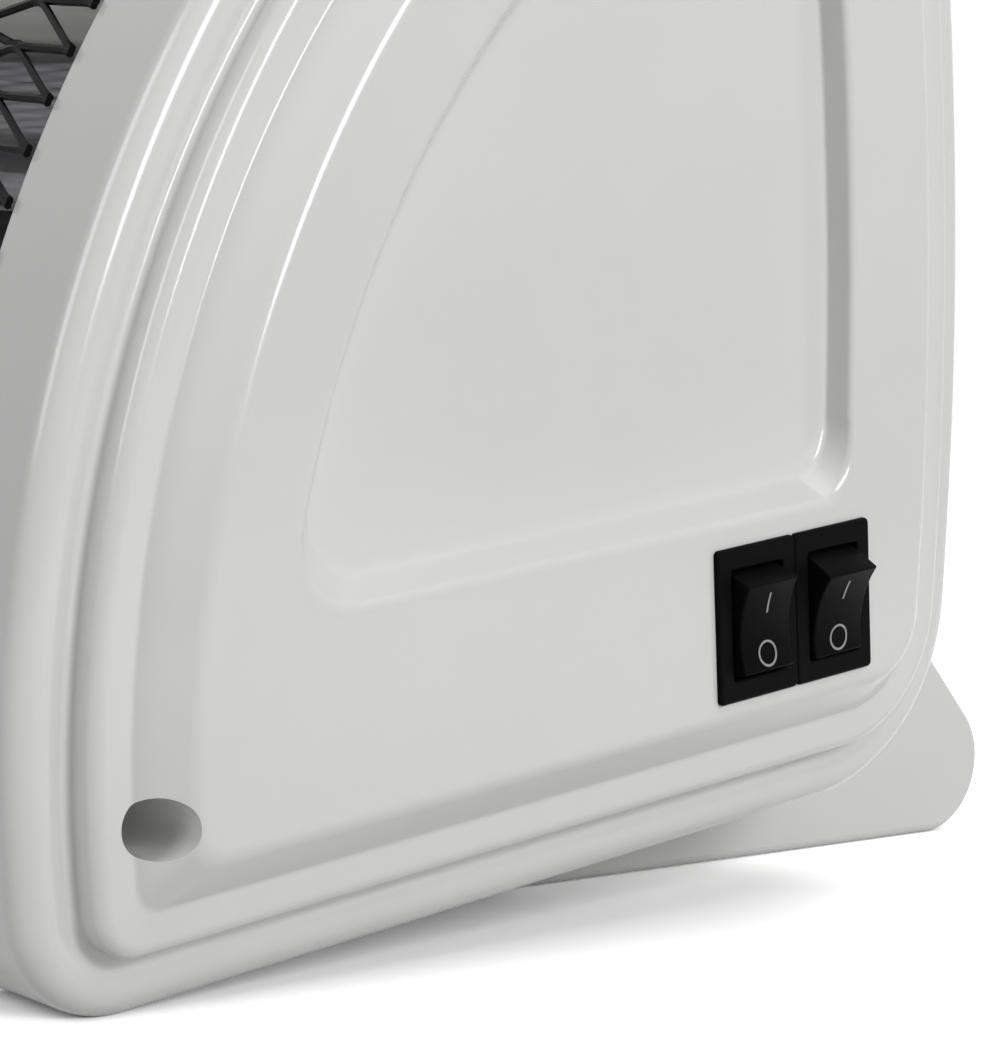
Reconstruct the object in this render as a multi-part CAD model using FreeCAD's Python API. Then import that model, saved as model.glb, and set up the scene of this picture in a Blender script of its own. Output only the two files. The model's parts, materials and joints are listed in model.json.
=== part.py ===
import FreeCAD, Part
import math
import os

Vec = FreeCAD.Vector
across = Vec(1, 0, 0)
back = Vec(0, 1, 0)
up = Vec(0, 0, 1)
nowhere = Vec(0, 0, 0)

# Sizes are millimetres and degrees. Body axes: x across from the middle, y back from the front edge
# of the cheeks, z up from their bottom edge. The whole body then leans forward onto its feet.
body_width = 340.0
forward_lean = 7.5

# Room between pieces
fit_gap = 0.1
running_gap = 0.3
pivot_gap = 0.05
cut_overrun = 2.0

# Side outline of the cheeks: a round front, a gently bowed rear and three rounded corners
front_arc_radius = 162.0
front_arc_height = 20.0
rear_arc_radius = 500.0
rear_arc_height = 90.0
cheek_depth = 169.4
front_corner_radius = 14.0
rear_corner_radius = 28.0
top_corner_radius = 24.0
least_corner_radius = 3.5

# Cheek moulding: a beaded rim, a step and a bevelled panel, drawn in from the outline one by one
cheek_thickness = 28.5
cheek_wall = 2.4
rim_level = 9.5
rim_bead_radius = 3.75
step_inset = 8.0
step_level = 5.5
step_edge_chamfer = 1.2
bevel_inset = 13.4
panel_inset = 19.1
recess_margin = 14.5
recess_bottom = 47.5
recess_depth = 4.7
recess_draft = 2.0
recess_corner_radius = 8.0

# Screw posts inside the cheeks, on a line drawn in from the front arc
post_inset = 15.6
post_low_angle = 1.5
post_high_angle = 74.0
post_radius = 5.8
post_floor = 2.4
counterbore_radius = 3.8
screw_radius = 1.75
screw_hole_gap = 0.35
screw_head_radius = 3.3
screw_head_height = 2.4
cheek_screw_length = 9.0

# Sheet metal between the cheeks
sheet_thickness = 0.8
plate_thickness = 1.0
plate_seat_depth = 6.0
plate_flange = 18.0
seam_height = 40.0
seam_gap = 0.3
hood_angle = 66.0

# Slots in the back and in the base
slot_width = 4.0
back_slot_length = 58.0
back_slot_pitch = 10.5
back_slot_rows = 7
back_slot_low = 76.0
back_slot_columns = 3
back_column_pitch = 78.0
base_slot_length = 40.0
base_slot_pitch = 60.0
base_slot_columns = 4
base_slot_first = 38.0
base_slot_step = 9.0
base_slot_rows = 3

# Guard: an open net of diamonds on a curved tray with folded edges
guard_proud = 1.2
guard_thickness = 1.0
guard_lap = 5.0
guard_border = 3.5
guard_side_border = 1.4
net_columns = 10
net_rows = 11
net_strand = 2.2

# Heating tubes, on an arc inside the guard
tube_inset = 42.0
tube_low_angle = 22.0
tube_high_angle = 50.0
tube_radius = 5.5
tube_wall = 1.1
coil_gap = 0.5
coil_wire = 0.8
cap_radius = 9.0
cap_length = 18.0
cap_inside = 9.0
cap_bore_depth = 7.0
stud_radius = 2.0
stud_length = 5.0

# Reflector: a trough behind each tube, with wings to the lip and to the hood
trough_land = 6.0
trough_half_angle = 80.0
reflector_thickness = 0.6
wing_inset = 6.0
wing_angle = 2.0

# Pair of rocker switches in the right cheek
switch_back = 120.4
switch_height = 31.8
bezel_width = 15.0
bezel_height = 21.0
bezel_proud = 0.9
bezel_edge_radius = 0.5
switch_body_width = 12.8
switch_body_height = 18.8
switch_body_depth = 12.0
switch_floor = 1.6
opening_width = 10.0
opening_height = 15.0
pivot_depth = 2.6
pivot_radius = 1.0
pivot_length = 1.0
rocker_tilt = 15.0
front_rocker_rest = 5.0
rocker_proud = 2.5
rocker_hollow = 1.3
rocker_underside = 3.0
blade_width = 4.8
blade_thickness = 0.8
blade_length = 7.5
blade_spread = 9.0

# Supply terminals and cord inlet
block_width = 30.0
block_height = 16.0
block_depth = 10.0
block_back = 112.0
block_low = 66.0
block_ways = 3
block_way_radius = 2.6
bushing_from_rim = 37.5
bushing_height = 58.0
bushing_bore_radius = 3.5
bushing_neck_radius = 5.5
bushing_flange_radius = 8.0
bushing_flange = 2.5
bushing_length = 14.0

# Rear feet, drawn upright as they stand on the floor
foot_inset = 40.5
foot_width = 24.0
foot_overhang = 38.6
foot_run = 108.0
foot_nose_radius = 11.0
foot_slope = 45.0
foot_slope_length = 62.0
foot_wall = 2.6
foot_toe_radius = 5.0

# Carry handle on the hood
handle_back = 130.0
handle_depth = 18.0
handle_half_width = 68.0
handle_taper = 9.0
handle_rise = 217.0
handle_bar = 10.0
handle_leg = 14.0
handle_corner_radius = 12.0
handle_edge_chamfer = 2.0

# Tip-over switch, upright on the base
tip_side = -72.0
tip_back = 106.0
tip_travel = 6.0
tip_clearance = 0.2
tip_radius = 4.0
tip_taper = 1.5
tip_flange_radius = 6.0
tip_flange_height = 28.0
tip_flange = 2.0
tip_stem_radius = 2.5
tip_spring_length = 12.0
tip_spring_wall = 1.0
tip_body_width = 22.0
tip_body_depth = 20.0
tip_body_wall = 3.0

# Small screws along the sides of the back cover
cover_screw_radius = 1.5
cover_screw_head_radius = 3.0
cover_screw_head_height = 1.8
cover_screw_length = 6.0
cover_screw_heights = (56.0, 112.0, 150.0)

# Places worked out from the sizes above
panel_x = body_width / 2
rim_inner_x = panel_x - cheek_thickness
plate_x = rim_inner_x + plate_seat_depth
casing_inset = cheek_wall + fit_gap
plate_inset = casing_inset + sheet_thickness + fit_gap
lip_angle = math.degrees(math.asin((seam_height - front_arc_height) / (front_arc_radius - casing_inset)))
front_corner_height = front_corner_radius
front_corner_reach = math.sqrt(
    (front_arc_radius - front_corner_radius) ** 2 - (front_corner_height - front_arc_height) ** 2)
front_corner_back = front_arc_radius - front_corner_reach
lean = math.radians(forward_lean)
floor_level = (front_corner_back * math.sin(lean) + front_corner_height * math.cos(lean)
               - front_corner_radius)
foot_reach = cheek_depth + foot_overhang
foot_front = foot_reach - foot_run
tube_spread = math.radians(tube_high_angle - tube_low_angle)
tube_spacing = 2 * (front_arc_radius - tube_inset) * math.sin(tube_spread / 2)
trough_radius = (tube_spacing - trough_land) / 2
bezel_face_x = panel_x + bezel_proud
pivot_x = bezel_face_x - pivot_depth
rocker_radius = opening_height / 2 - running_gap


def at_front(angle, radius, x):
    # Point at an angle above the horizontal on a circle about the front arc's centre
    turn = math.radians(angle)
    return Vec(x, front_arc_radius - radius * math.cos(turn), front_arc_height + radius * math.sin(turn))


def towards(centre, point, distance):
    way = point - centre
    return centre + way.normalize() * distance


def arc(centre, start, end):
    # Short way round a centre from start to end
    radius = (start - centre).Length
    middle = towards(centre, centre + (start - centre) + (end - centre), radius)
    return Part.Arc(start, middle, end).toShape()


def line(start, end):
    return Part.LineSegment(start, end).toShape()


def block(low, high):
    size = high - low
    return Part.makeBox(size.x, size.y, size.z, low)


def rod(centre, axis, radius, length):
    return Part.makeCylinder(radius, length, centre, axis)


def joined(shapes):
    return shapes[0].fuse(shapes[1:]).removeSplitter()


def upright(shape):
    # A shape drawn as it stands on the floor, turned into the leaning body's axes
    turned = shape.copy()
    turned.rotate(nowhere, across, -forward_lean)
    return turned


def resting_centre(arc_centre, arc_radius, corner, bottom, side):
    # Centre of a rounded corner between an arc and a level bottom edge
    height = bottom + corner
    reach = math.sqrt((arc_radius - corner) ** 2 - (height - arc_centre.z) ** 2)
    return Vec(arc_centre.x, arc_centre.y + side * reach, height)


def upper_crossing(first, first_radius, second, second_radius):
    # Upper crossing of two circles in one side plane, the second centre in front of the first
    apart = (second - first).Length
    along = (first_radius ** 2 - second_radius ** 2 + apart ** 2) / (2 * apart)
    rise = math.sqrt(first_radius ** 2 - along ** 2)
    way = (second - first).normalize()
    return first + way * along + Vec(0, way.z, -way.y) * rise


def drawn_outline(x, inset, bottom, corners):
    front = Vec(x, front_arc_radius, front_arc_height)
    rear = Vec(x, cheek_depth - rear_arc_radius, rear_arc_height)
    front_radius = front_arc_radius - inset
    rear_radius = rear_arc_radius - inset
    front_corner, rear_corner, top_corner = corners
    low_front = resting_centre(front, front_radius, front_corner, bottom, -1)
    low_rear = resting_centre(rear, rear_radius, rear_corner, bottom, 1)
    top_rear = upper_crossing(front, front_radius - top_corner, rear, rear_radius - top_corner)
    bottom_front = Vec(x, low_front.y, bottom)
    bottom_rear = Vec(x, low_rear.y, bottom)
    front_low = towards(front, low_front, front_radius)
    front_high = towards(front, top_rear, front_radius)
    rear_high = towards(rear, top_rear, rear_radius)
    rear_low = towards(rear, low_rear, rear_radius)
    return Part.Wire([
        line(bottom_rear, bottom_front),
        arc(low_front, bottom_front, front_low),
        arc(front, front_low, front_high),
        arc(top_rear, front_high, rear_high),
        arc(rear, rear_high, rear_low),
        arc(low_rear, rear_low, bottom_rear)])


def outline(x, inset):
    corners = [max(full - inset, least_corner_radius)
               for full in (front_corner_radius, rear_corner_radius, top_corner_radius)]
    return drawn_outline(x, inset, inset, corners)


def recess_outline(x, inset):
    bottom = recess_bottom + inset - panel_inset - recess_margin
    return drawn_outline(x, inset, bottom, [recess_corner_radius] * 3)


def slab(inset, x_from, x_to):
    return Part.Face(outline(x_from, inset)).extrude(across * (x_to - x_from))


def taper(first, second):
    return Part.makeLoft([first, second], True, True)


def edges_at(shape, x):
    return [edge for edge in shape.Edges
            if abs(edge.BoundBox.XMin - x) < fit_gap and abs(edge.BoundBox.XMax - x) < fit_gap]


def cheek_skin():
    # Outer form of the right cheek, solid
    rim_x = panel_x - rim_level
    step_x = panel_x - step_level
    rim = slab(0, rim_inner_x, rim_x)
    rim = rim.makeFillet(rim_bead_radius, edges_at(rim, rim_x))
    step = slab(step_inset, rim_x - rim_bead_radius, step_x)
    step = step.makeChamfer(step_edge_chamfer, edges_at(step, step_x))
    crown = taper(outline(step_x, bevel_inset), outline(panel_x, panel_inset))
    return joined([rim, step, crown])


def cheek_hollow():
    # Room inside the right cheek, one wall in from the outer form
    rim_x = panel_x - rim_level - cheek_wall
    step_x = panel_x - step_level - cheek_wall
    rim = slab(cheek_wall, rim_inner_x - cut_overrun, rim_x)
    step = slab(step_inset + cheek_wall, rim_x - cheek_wall, step_x)
    crown = taper(outline(step_x, bevel_inset + cheek_wall),
                  outline(panel_x - cheek_wall, panel_inset + cheek_wall))
    hollow = joined([rim, step, crown])
    boss_inset = panel_inset + recess_margin - cheek_wall
    boss_x = panel_x - recess_depth - cheek_wall
    boss = Part.Face(recess_outline(boss_x, boss_inset)).extrude(across * recess_depth)
    return hollow.cut(boss)


def recess_cut():
    inset = panel_inset + recess_margin
    flare = recess_draft * cut_overrun / recess_depth
    return taper(recess_outline(panel_x - recess_depth, inset + recess_draft),
                 recess_outline(panel_x + cut_overrun, inset - flare))


def post_centres(x):
    radius = front_arc_radius - post_inset
    return [at_front(angle, radius, x) for angle in (post_low_angle, post_high_angle)]


def cheek_blank():
    # Cheek with recess and screw posts, for the right side
    skin = cheek_skin()
    posts = [rod(centre, across, post_radius, cheek_thickness) for centre in post_centres(plate_x)]
    posts = [post.common(skin) for post in posts]
    cheek = skin.cut(cheek_hollow()).cut(recess_cut())
    cheek = joined([cheek] + posts)
    bores = [rod(centre, across, counterbore_radius, cheek_thickness)
             for centre in post_centres(plate_x + post_floor)]
    holes = [rod(centre, across, screw_radius + screw_hole_gap, cheek_thickness)
             for centre in post_centres(plate_x - cut_overrun)]
    return cheek.cut(bores + holes)


def switch_places():
    half = bezel_width / 2
    return {"front": switch_back - half, "rear": switch_back + half}


def switch_block(width, height, x_from, x_to, place):
    low = Vec(x_from, place - width / 2, switch_height - height / 2)
    high = Vec(x_to, place + width / 2, switch_height + height / 2)
    return block(low, high)


def right_cheek(blank):
    width = switch_body_width + 2 * fit_gap
    height = switch_body_height + 2 * fit_gap
    holes = [switch_block(width, height, plate_x, panel_x + cut_overrun, place)
             for place in switch_places().values()]
    return blank.cut(holes)


def mirrored(shape):
    return shape.mirror(nowhere, across)


def end_plate():
    # Pan of sheet steel that closes the right cheek and carries the tubes, with no flange behind the guard
    pan = slab(plate_inset, plate_x - plate_flange, plate_x)
    inside = slab(plate_inset + plate_thickness, plate_x - plate_flange - cut_overrun,
                  plate_x - plate_thickness)
    front_room = guard_shadow()
    front_room.translate(across * (plate_x - plate_thickness - body_width))
    pan = pan.cut(inside).cut(front_room)
    start = plate_x - plate_flange - cut_overrun
    reach = plate_flange + 2 * cut_overrun
    holes = [rod(centre, across, cap_radius + fit_gap, reach) for centre in tube_centres(start)]
    holes += [rod(centre, across, screw_radius + pivot_gap, reach) for centre in post_centres(start)]
    holes += [screw_hole for screw_hole in cover_screw_rods(cover_screw_radius + pivot_gap)]
    return pan.cut(holes)


def casing_ring():
    outer = slab(casing_inset, -plate_x, plate_x)
    inner = slab(casing_inset + sheet_thickness, -plate_x - cut_overrun, plate_x + cut_overrun)
    return outer.cut(inner)


def below(height):
    low = Vec(-body_width, -body_width, -body_width)
    return block(low, Vec(body_width, body_width, height))


def slot(centre, length, way, depth):
    # Straight slot along x, cut through along a given way
    side = back if way.z else up
    corner = across * (length / 2) + side * (slot_width / 2)
    return block(centre - corner, centre + corner + way * depth)


def base_pan(ring):
    # Bottom of the casing, turned up into a lip at the front and at the rear
    pan = ring.common(below(seam_height))
    slots = []
    for column in range(base_slot_columns):
        x = (column - (base_slot_columns - 1) / 2) * base_slot_pitch
        for row in range(base_slot_rows):
            y = base_slot_first + row * base_slot_step
            slots.append(slot(Vec(x, y, -cut_overrun), base_slot_length, up, plate_inset + 2 * cut_overrun))
    way = rod(tip_point(0), up, tip_radius + 2 * running_gap, tip_flange_height)
    return pan.cut(slots + [upright(way)])


def guard_shadow():
    # Side area in front of the hood, which the guard covers
    inner = front_arc_radius - post_inset
    high = at_front(hood_angle, front_arc_radius + cut_overrun, -body_width)
    low_inner = at_front(0, inner, -body_width)
    face = Part.Face(Part.makePolygon([
        low_inner, at_front(hood_angle, inner, -body_width), high, Vec(-body_width, -cut_overrun, high.z),
        Vec(-body_width, -cut_overrun, front_arc_height), low_inner]))
    return face.extrude(across * (2 * body_width))


def cover_screw_places():
    side_x = rim_inner_x - cover_screw_head_radius - cut_overrun
    rear_y = cheek_depth - rear_arc_radius
    radius = rear_arc_radius - casing_inset
    places = []
    for x in (-side_x, side_x):
        for height in cover_screw_heights:
            reach = math.sqrt(radius ** 2 - (height - rear_arc_height) ** 2)
            places.append((Vec(x, rear_y, rear_arc_height), Vec(x, rear_y + reach, height)))
    return places


def cover_screw_rods(radius):
    rods = []
    for centre, seat in cover_screw_places():
        way = (centre - seat).normalize()
        rods.append(rod(seat - way * cut_overrun, way, radius, cover_screw_length + cut_overrun))
    return rods


def back_cover(ring):
    # Hood and back of the casing in one sheet, with rows of air slots
    cover = ring.cut([below(seam_height + seam_gap), guard_shadow()])
    slots = []
    for column in range(back_slot_columns):
        x = (column - (back_slot_columns - 1) / 2) * back_column_pitch
        for row in range(back_slot_rows):
            start = Vec(x, cheek_depth - top_corner_radius, back_slot_low + row * back_slot_pitch)
            slots.append(slot(start, back_slot_length, back, top_corner_radius))
    neck = rod(bushing_point(0), back, bushing_neck_radius + fit_gap, cheek_depth)
    return cover.cut(slots + [neck] + cover_screw_rods(cover_screw_radius + pivot_gap))


def cover_screws():
    screws = []
    for centre, seat in cover_screw_places():
        way = (centre - seat).normalize()
        head = rod(seat - way * cover_screw_head_height, way, cover_screw_head_radius,
                   cover_screw_head_height)
        gap_back = math.sqrt(rear_arc_radius ** 2 - cover_screw_head_radius ** 2)
        crown = rear_arc_radius - gap_back
        head.translate(way * -crown)
        shank = rod(seat - way * crown, way, cover_screw_radius, cover_screw_length)
        screws.append(joined([head, shank]))
    return Part.makeCompound(screws)


def guard_angles():
    lap = math.degrees(guard_lap / front_arc_radius)
    return lip_angle - lap, hood_angle + lap


def bent_strip(angles, radii, x_from, x_to):
    # Strip folded about the front arc's centre, flat between one angle and the next
    inner, outer = radii
    points = [at_front(angle, inner, x_from) for angle in angles]
    points += [at_front(angle, outer, x_from) for angle in reversed(angles)]
    return Part.Face(Part.makePolygon(points + points[:1])).extrude(across * (x_to - x_from))


def net_gaps(width, length):
    # Diamond gaps of the net as lists of flat points, halved along its borders
    half_long = width / net_columns / 2
    half_short = length / net_rows / 2
    edge_gap = half_long * half_short / math.hypot(half_long, half_short)
    share = (edge_gap - net_strand / 2) / edge_gap
    reach = [(half_long * share, 0), (0, half_short * share),
             (-half_long * share, 0), (0, -half_short * share)]
    gaps = []
    for column in range(2 * net_columns + 1):
        for row in range(2 * net_rows + 1):
            corner = column in (0, 2 * net_columns) and row in (0, 2 * net_rows)
            if (column + row) % 2 or corner:
                continue
            x = column * half_long - width / 2
            s = row * half_short - length / 2
            points = [(x + dx, s + ds) for dx, ds in reach]
            gaps.append([(px, ps) for px, ps in points
                         if abs(px) <= width / 2 + fit_gap and abs(ps) <= length / 2 + fit_gap])
    return gaps


def front_guard():
    # Net and folded edges in one tray, bent a little at each row of the net
    low, high = guard_angles()
    outer = front_arc_radius + guard_proud
    inner = outer - guard_thickness
    seat = front_arc_radius - casing_inset + fit_gap
    half_width = rim_inner_x - fit_gap
    border = math.degrees(guard_border / outer)
    fold = math.degrees(guard_thickness / outer)
    row_angle = (high - low - 2 * border) / (2 * net_rows)
    bends = [low + border + row_angle * row for row in range(2 * net_rows + 1)]
    tray = bent_strip([low] + bends + [high], (seat, outer), -half_width, half_width)
    inside = half_width - guard_thickness
    room = bent_strip([low + fold] + bends + [high - fold], (seat - cut_overrun, inner), -inside, inside)
    middle = (low + high) / 2
    normal = at_front(middle, 1, 0) - at_front(middle, 0, 0)
    tangent = normal.cross(across)
    start = at_front(middle, outer * math.cos(math.radians(high - low)), 0)
    length = math.radians(high - low - 2 * border) * outer
    prisms = []
    for gap in net_gaps(2 * (half_width - guard_side_border), length):
        points = [start + across * x + tangent * (outer * math.sin(s / outer)) for x, s in gap]
        prisms.append(Part.Face(Part.makePolygon(points + points[:1])).extrude(normal * outer))
    return tray.cut(room).cut(Part.makeCompound(prisms))


def tube_centres(x):
    radius = front_arc_radius - tube_inset
    return [at_front(angle, radius, x) for angle in (tube_low_angle, tube_high_angle)]


def tube_end_x():
    return plate_x - cap_inside + cap_bore_depth - fit_gap


def quartz_tube(centre):
    reach = 2 * tube_end_x()
    tube = rod(centre, across, tube_radius, reach)
    return tube.cut(rod(centre, across, tube_radius - tube_wall, reach))


def heating_coil(centre):
    # Close-wound coil, as the sleeve that it fills
    outer = tube_radius - tube_wall - coil_gap
    reach = 2 * tube_end_x()
    return rod(centre, across, outer, reach).cut(rod(centre, across, outer - coil_wire, reach))


def both_sides(shapes):
    return Part.makeCompound(shapes + [mirrored(shape) for shape in shapes])


def tube_caps():
    caps = []
    for centre in tube_centres(plate_x - cap_inside):
        cap = rod(centre, across, cap_radius, cap_length)
        caps.append(cap.cut(rod(centre, across, tube_radius + fit_gap, cap_bore_depth)))
    return both_sides(caps)


def tube_studs():
    start = plate_x - cap_inside + cap_length
    return both_sides([rod(centre, across, stud_radius, stud_length) for centre in tube_centres(start)])


def trough_points(angle, centre):
    # Lower end, middle and upper end of the trough behind one tube
    points = []
    for turn in (-trough_half_angle, 0, trough_half_angle):
        way = math.radians(turn - angle)
        points.append(centre + Vec(0, math.cos(way), math.sin(way)) * trough_radius)
    return points


def reflector():
    # One bright sheet: lower wing, two troughs, upper wing, thickened to the rear
    half_length = plate_x - plate_thickness - fit_gap
    wing = front_arc_radius - wing_inset
    first = at_front(lip_angle + wing_angle, wing, -half_length)
    last = at_front(hood_angle - wing_angle, wing, -half_length)
    low_centre, high_centre = tube_centres(-half_length)
    low = trough_points(tube_low_angle, low_centre)
    high = trough_points(tube_high_angle, high_centre)
    front = Part.Wire([line(first, low[0]), Part.Arc(*low).toShape(), line(low[2], high[0]),
                       Part.Arc(*high).toShape(), line(high[2], last)])
    sheet = front.makeOffset2D(reflector_thickness, join=2, fill=True, openResult=True)
    return sheet.extrude(across * (2 * half_length))


def switch_frame(place):
    bezel = switch_block(bezel_width, bezel_height, panel_x, bezel_face_x, place)
    bezel = bezel.makeFillet(bezel_edge_radius, edges_at(bezel, bezel_face_x))
    body = switch_block(switch_body_width, switch_body_height, panel_x - switch_body_depth, panel_x, place)
    well = switch_block(opening_width, opening_height, panel_x - switch_body_depth + switch_floor,
                        bezel_face_x + cut_overrun, place)
    reach = opening_width / 2 + pivot_length + fit_gap
    pin_hole = rod(Vec(pivot_x, place - reach, switch_height), back, pivot_radius + pivot_gap, 2 * reach)
    return joined([bezel, body]).cut([well, pin_hole])


def rocker(place, tilt):
    # Paddle with a hollowed top, tipped to its rest position; its ends are round about the pivot and run on
    # straight to the crests, so that they stay clear of the opening at full tilt
    half_width = opening_width / 2 - running_gap
    pivot = Vec(pivot_x, place - half_width, switch_height)
    full = math.radians(rocker_tilt)
    low = math.asin(rocker_underside / rocker_radius)
    crest_out = pivot_depth + rocker_proud
    crest_up = rocker_radius / math.cos(full) - crest_out * math.tan(full)

    def rim(turn, side):
        return pivot + Vec(math.sin(turn), 0, side * math.cos(turn)) * rocker_radius

    def crest(side):
        return pivot + Vec(crest_out, 0, side * crest_up)

    dip = pivot + across * (crest_out - rocker_hollow)
    wire = Part.Wire([
        Part.Arc(crest(-1), dip, crest(1)).toShape(),
        line(crest(1), rim(full, 1)),
        arc(pivot, rim(full, 1), rim(-low, 1)),
        line(rim(-low, 1), rim(-low, -1)),
        arc(pivot, rim(-low, -1), rim(full, -1)),
        line(rim(full, -1), crest(-1))])
    paddle = Part.Face(wire).extrude(back * (2 * half_width))
    reach = opening_width / 2 + pivot_length
    pin = rod(Vec(pivot_x, place - reach, switch_height), back, pivot_radius, 2 * reach)
    shape = joined([paddle, pin])
    shape.rotate(pivot, back, tilt)
    return shape


def switch_blades():
    blades = []
    for place in switch_places().values():
        for side in (-1, 1):
            height = switch_height + side * blade_spread / 2
            high = Vec(panel_x - switch_body_depth, place + blade_width / 2, height + blade_thickness / 2)
            low = high - Vec(blade_length, blade_width, blade_thickness)
            blades.append(block(low, high))
    return Part.makeCompound(blades)


def terminal_block():
    low = Vec(plate_x, block_back - block_width / 2, block_low)
    body = block(low, low + Vec(block_depth, block_width, block_height))
    pitch = block_width / block_ways
    ways = [rod(low + Vec(block_depth / 2, pitch * way + pitch / 2, -cut_overrun), up, block_way_radius,
                block_height + 2 * cut_overrun) for way in range(block_ways)]
    return body.cut(ways)


def bushing_point(y):
    return Vec(rim_inner_x - bushing_from_rim, y, bushing_height)


def rear_surface(height, inset):
    return (cheek_depth - rear_arc_radius
            + math.sqrt((rear_arc_radius - inset) ** 2 - (height - rear_arc_height) ** 2))


def cord_bushing():
    # Collar through the back cover, bored for the supply cord
    seat = rear_surface(bushing_height + bushing_flange_radius, casing_inset) + fit_gap
    collar = rod(bushing_point(seat), back, bushing_flange_radius, bushing_flange)
    neck = rod(bushing_point(seat + bushing_flange - bushing_length), back, bushing_neck_radius,
               bushing_length)
    bore = rod(bushing_point(0), back, bushing_bore_radius, 2 * cheek_depth)
    return joined([collar, neck]).cut(bore)


def foot_face(x):
    # Upright side profile: flat sole, round nose, sloping back strut
    slope = math.radians(foot_slope)
    nose = Vec(x, foot_reach - foot_nose_radius, floor_level + foot_nose_radius)
    sole_rear = Vec(x, nose.y, floor_level)
    tip = nose + Vec(0, math.sin(slope), math.cos(slope)) * foot_nose_radius
    top = tip + Vec(0, -math.cos(slope), math.sin(slope)) * foot_slope_length
    front_high = Vec(x, foot_front, top.z)
    toe = Vec(x, foot_front + foot_toe_radius, floor_level + foot_toe_radius)
    sole_front = Vec(x, toe.y, floor_level)
    toe_front = Vec(x, foot_front, toe.z)
    return Part.Face(Part.Wire([
        line(sole_front, sole_rear), arc(nose, sole_rear, tip), line(tip, top),
        line(top, front_high), line(front_high, toe_front), arc(toe, toe_front, sole_front)]))


def right_foot(body):
    outer_x = panel_x - foot_inset
    face = foot_face(outer_x)
    shell = face.extrude(across * -foot_width)
    inside = face.makeOffset2D(-foot_wall)
    inside.translate(across * -foot_wall)
    room = inside.extrude(across * (2 * foot_wall - foot_width))
    return upright(shell.cut(room)).cut(body)


def handle_frame(half_width, rise, start):
    # Arch seen from the front, with two rounded upper corners
    low = Vec(0, start, handle_base())
    left, right = low - across * half_width, low + across * half_width
    high_left = Vec(-half_width + handle_taper, start, rise)
    high_right = Vec(half_width - handle_taper, start, rise)
    return Part.Face(Part.makePolygon([left, right, high_right, high_left, left]))


def handle_base():
    return front_arc_height + front_arc_radius - top_corner_radius


def carry_handle(body):
    start = handle_back - handle_depth / 2
    outer = handle_frame(handle_half_width, handle_rise, start).extrude(back * handle_depth)
    inner = handle_frame(handle_half_width - handle_leg, handle_rise - handle_bar,
                         start).extrude(back * handle_depth)

    def upper_corners(shape, rise):
        return [edge for edge in shape.Edges
                if abs(edge.BoundBox.ZMin - rise) < fit_gap and edge.BoundBox.YLength > fit_gap
                and edge.BoundBox.XLength < fit_gap]

    outer = outer.makeFillet(handle_corner_radius, upper_corners(outer, handle_rise))
    inner = inner.makeFillet(handle_corner_radius - handle_edge_chamfer,
                             upper_corners(inner, handle_rise - handle_bar))
    arch = outer.cut(inner)
    ends = (start, start + handle_depth)
    rims = [edge for edge in arch.Edges
            if edge.BoundBox.YLength < fit_gap and edge.BoundBox.ZMax > handle_base() + fit_gap
            and min(abs(edge.BoundBox.YMin - end) for end in ends) < fit_gap]
    return arch.makeChamfer(handle_edge_chamfer, rims).cut(body)


def tip_point(height):
    return Vec(tip_side, tip_back, floor_level + height)


def tip_plunger():
    head = rod(tip_point(tip_clearance + tip_taper), up, tip_radius,
               tip_flange_height - tip_clearance - tip_taper)
    nose = Part.makeCone(tip_radius - tip_taper, tip_radius, tip_taper, tip_point(tip_clearance), up)
    flange = rod(tip_point(tip_flange_height), up, tip_flange_radius, tip_flange)
    stem = rod(tip_point(tip_flange_height + tip_flange), up, tip_stem_radius,
               tip_spring_length + tip_body_wall)
    return upright(joined([head, nose, flange, stem]))


def tip_spring():
    inner = tip_stem_radius + running_gap
    start = tip_point(tip_flange_height + tip_flange)
    sleeve = rod(start, up, inner + tip_spring_wall, tip_spring_length)
    return upright(sleeve.cut(rod(start, up, inner, tip_spring_length)))


def tip_housing(base_body):
    ceiling = tip_flange_height + tip_flange + tip_spring_length
    top = ceiling + tip_body_wall
    half = Vec(tip_body_width / 2, tip_body_depth / 2, 0)
    shell = block(tip_point(0) - half, tip_point(top) + half)
    chamber_floor = tip_flange_height - tip_travel - running_gap
    chamber = rod(tip_point(chamber_floor), up, tip_flange_radius + running_gap, ceiling - chamber_floor)
    low_guide = rod(tip_point(0), up, tip_radius + pivot_gap, top)
    high_guide = rod(tip_point(0), up, tip_stem_radius + pivot_gap, top + cut_overrun)
    low_guide = low_guide.common(block(tip_point(0) - half, tip_point(ceiling) + half))
    shell = shell.cut([chamber, low_guide, high_guide])
    return upright(shell).common(base_body)


def cheek_screws():
    screws = []
    for centre in post_centres(plate_x + post_floor):
        head = rod(centre, across, screw_head_radius, screw_head_height)
        shank = rod(centre, across * -1, screw_radius, cheek_screw_length)
        screws.append(joined([head, shank]))
    return both_sides(screws)


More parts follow.
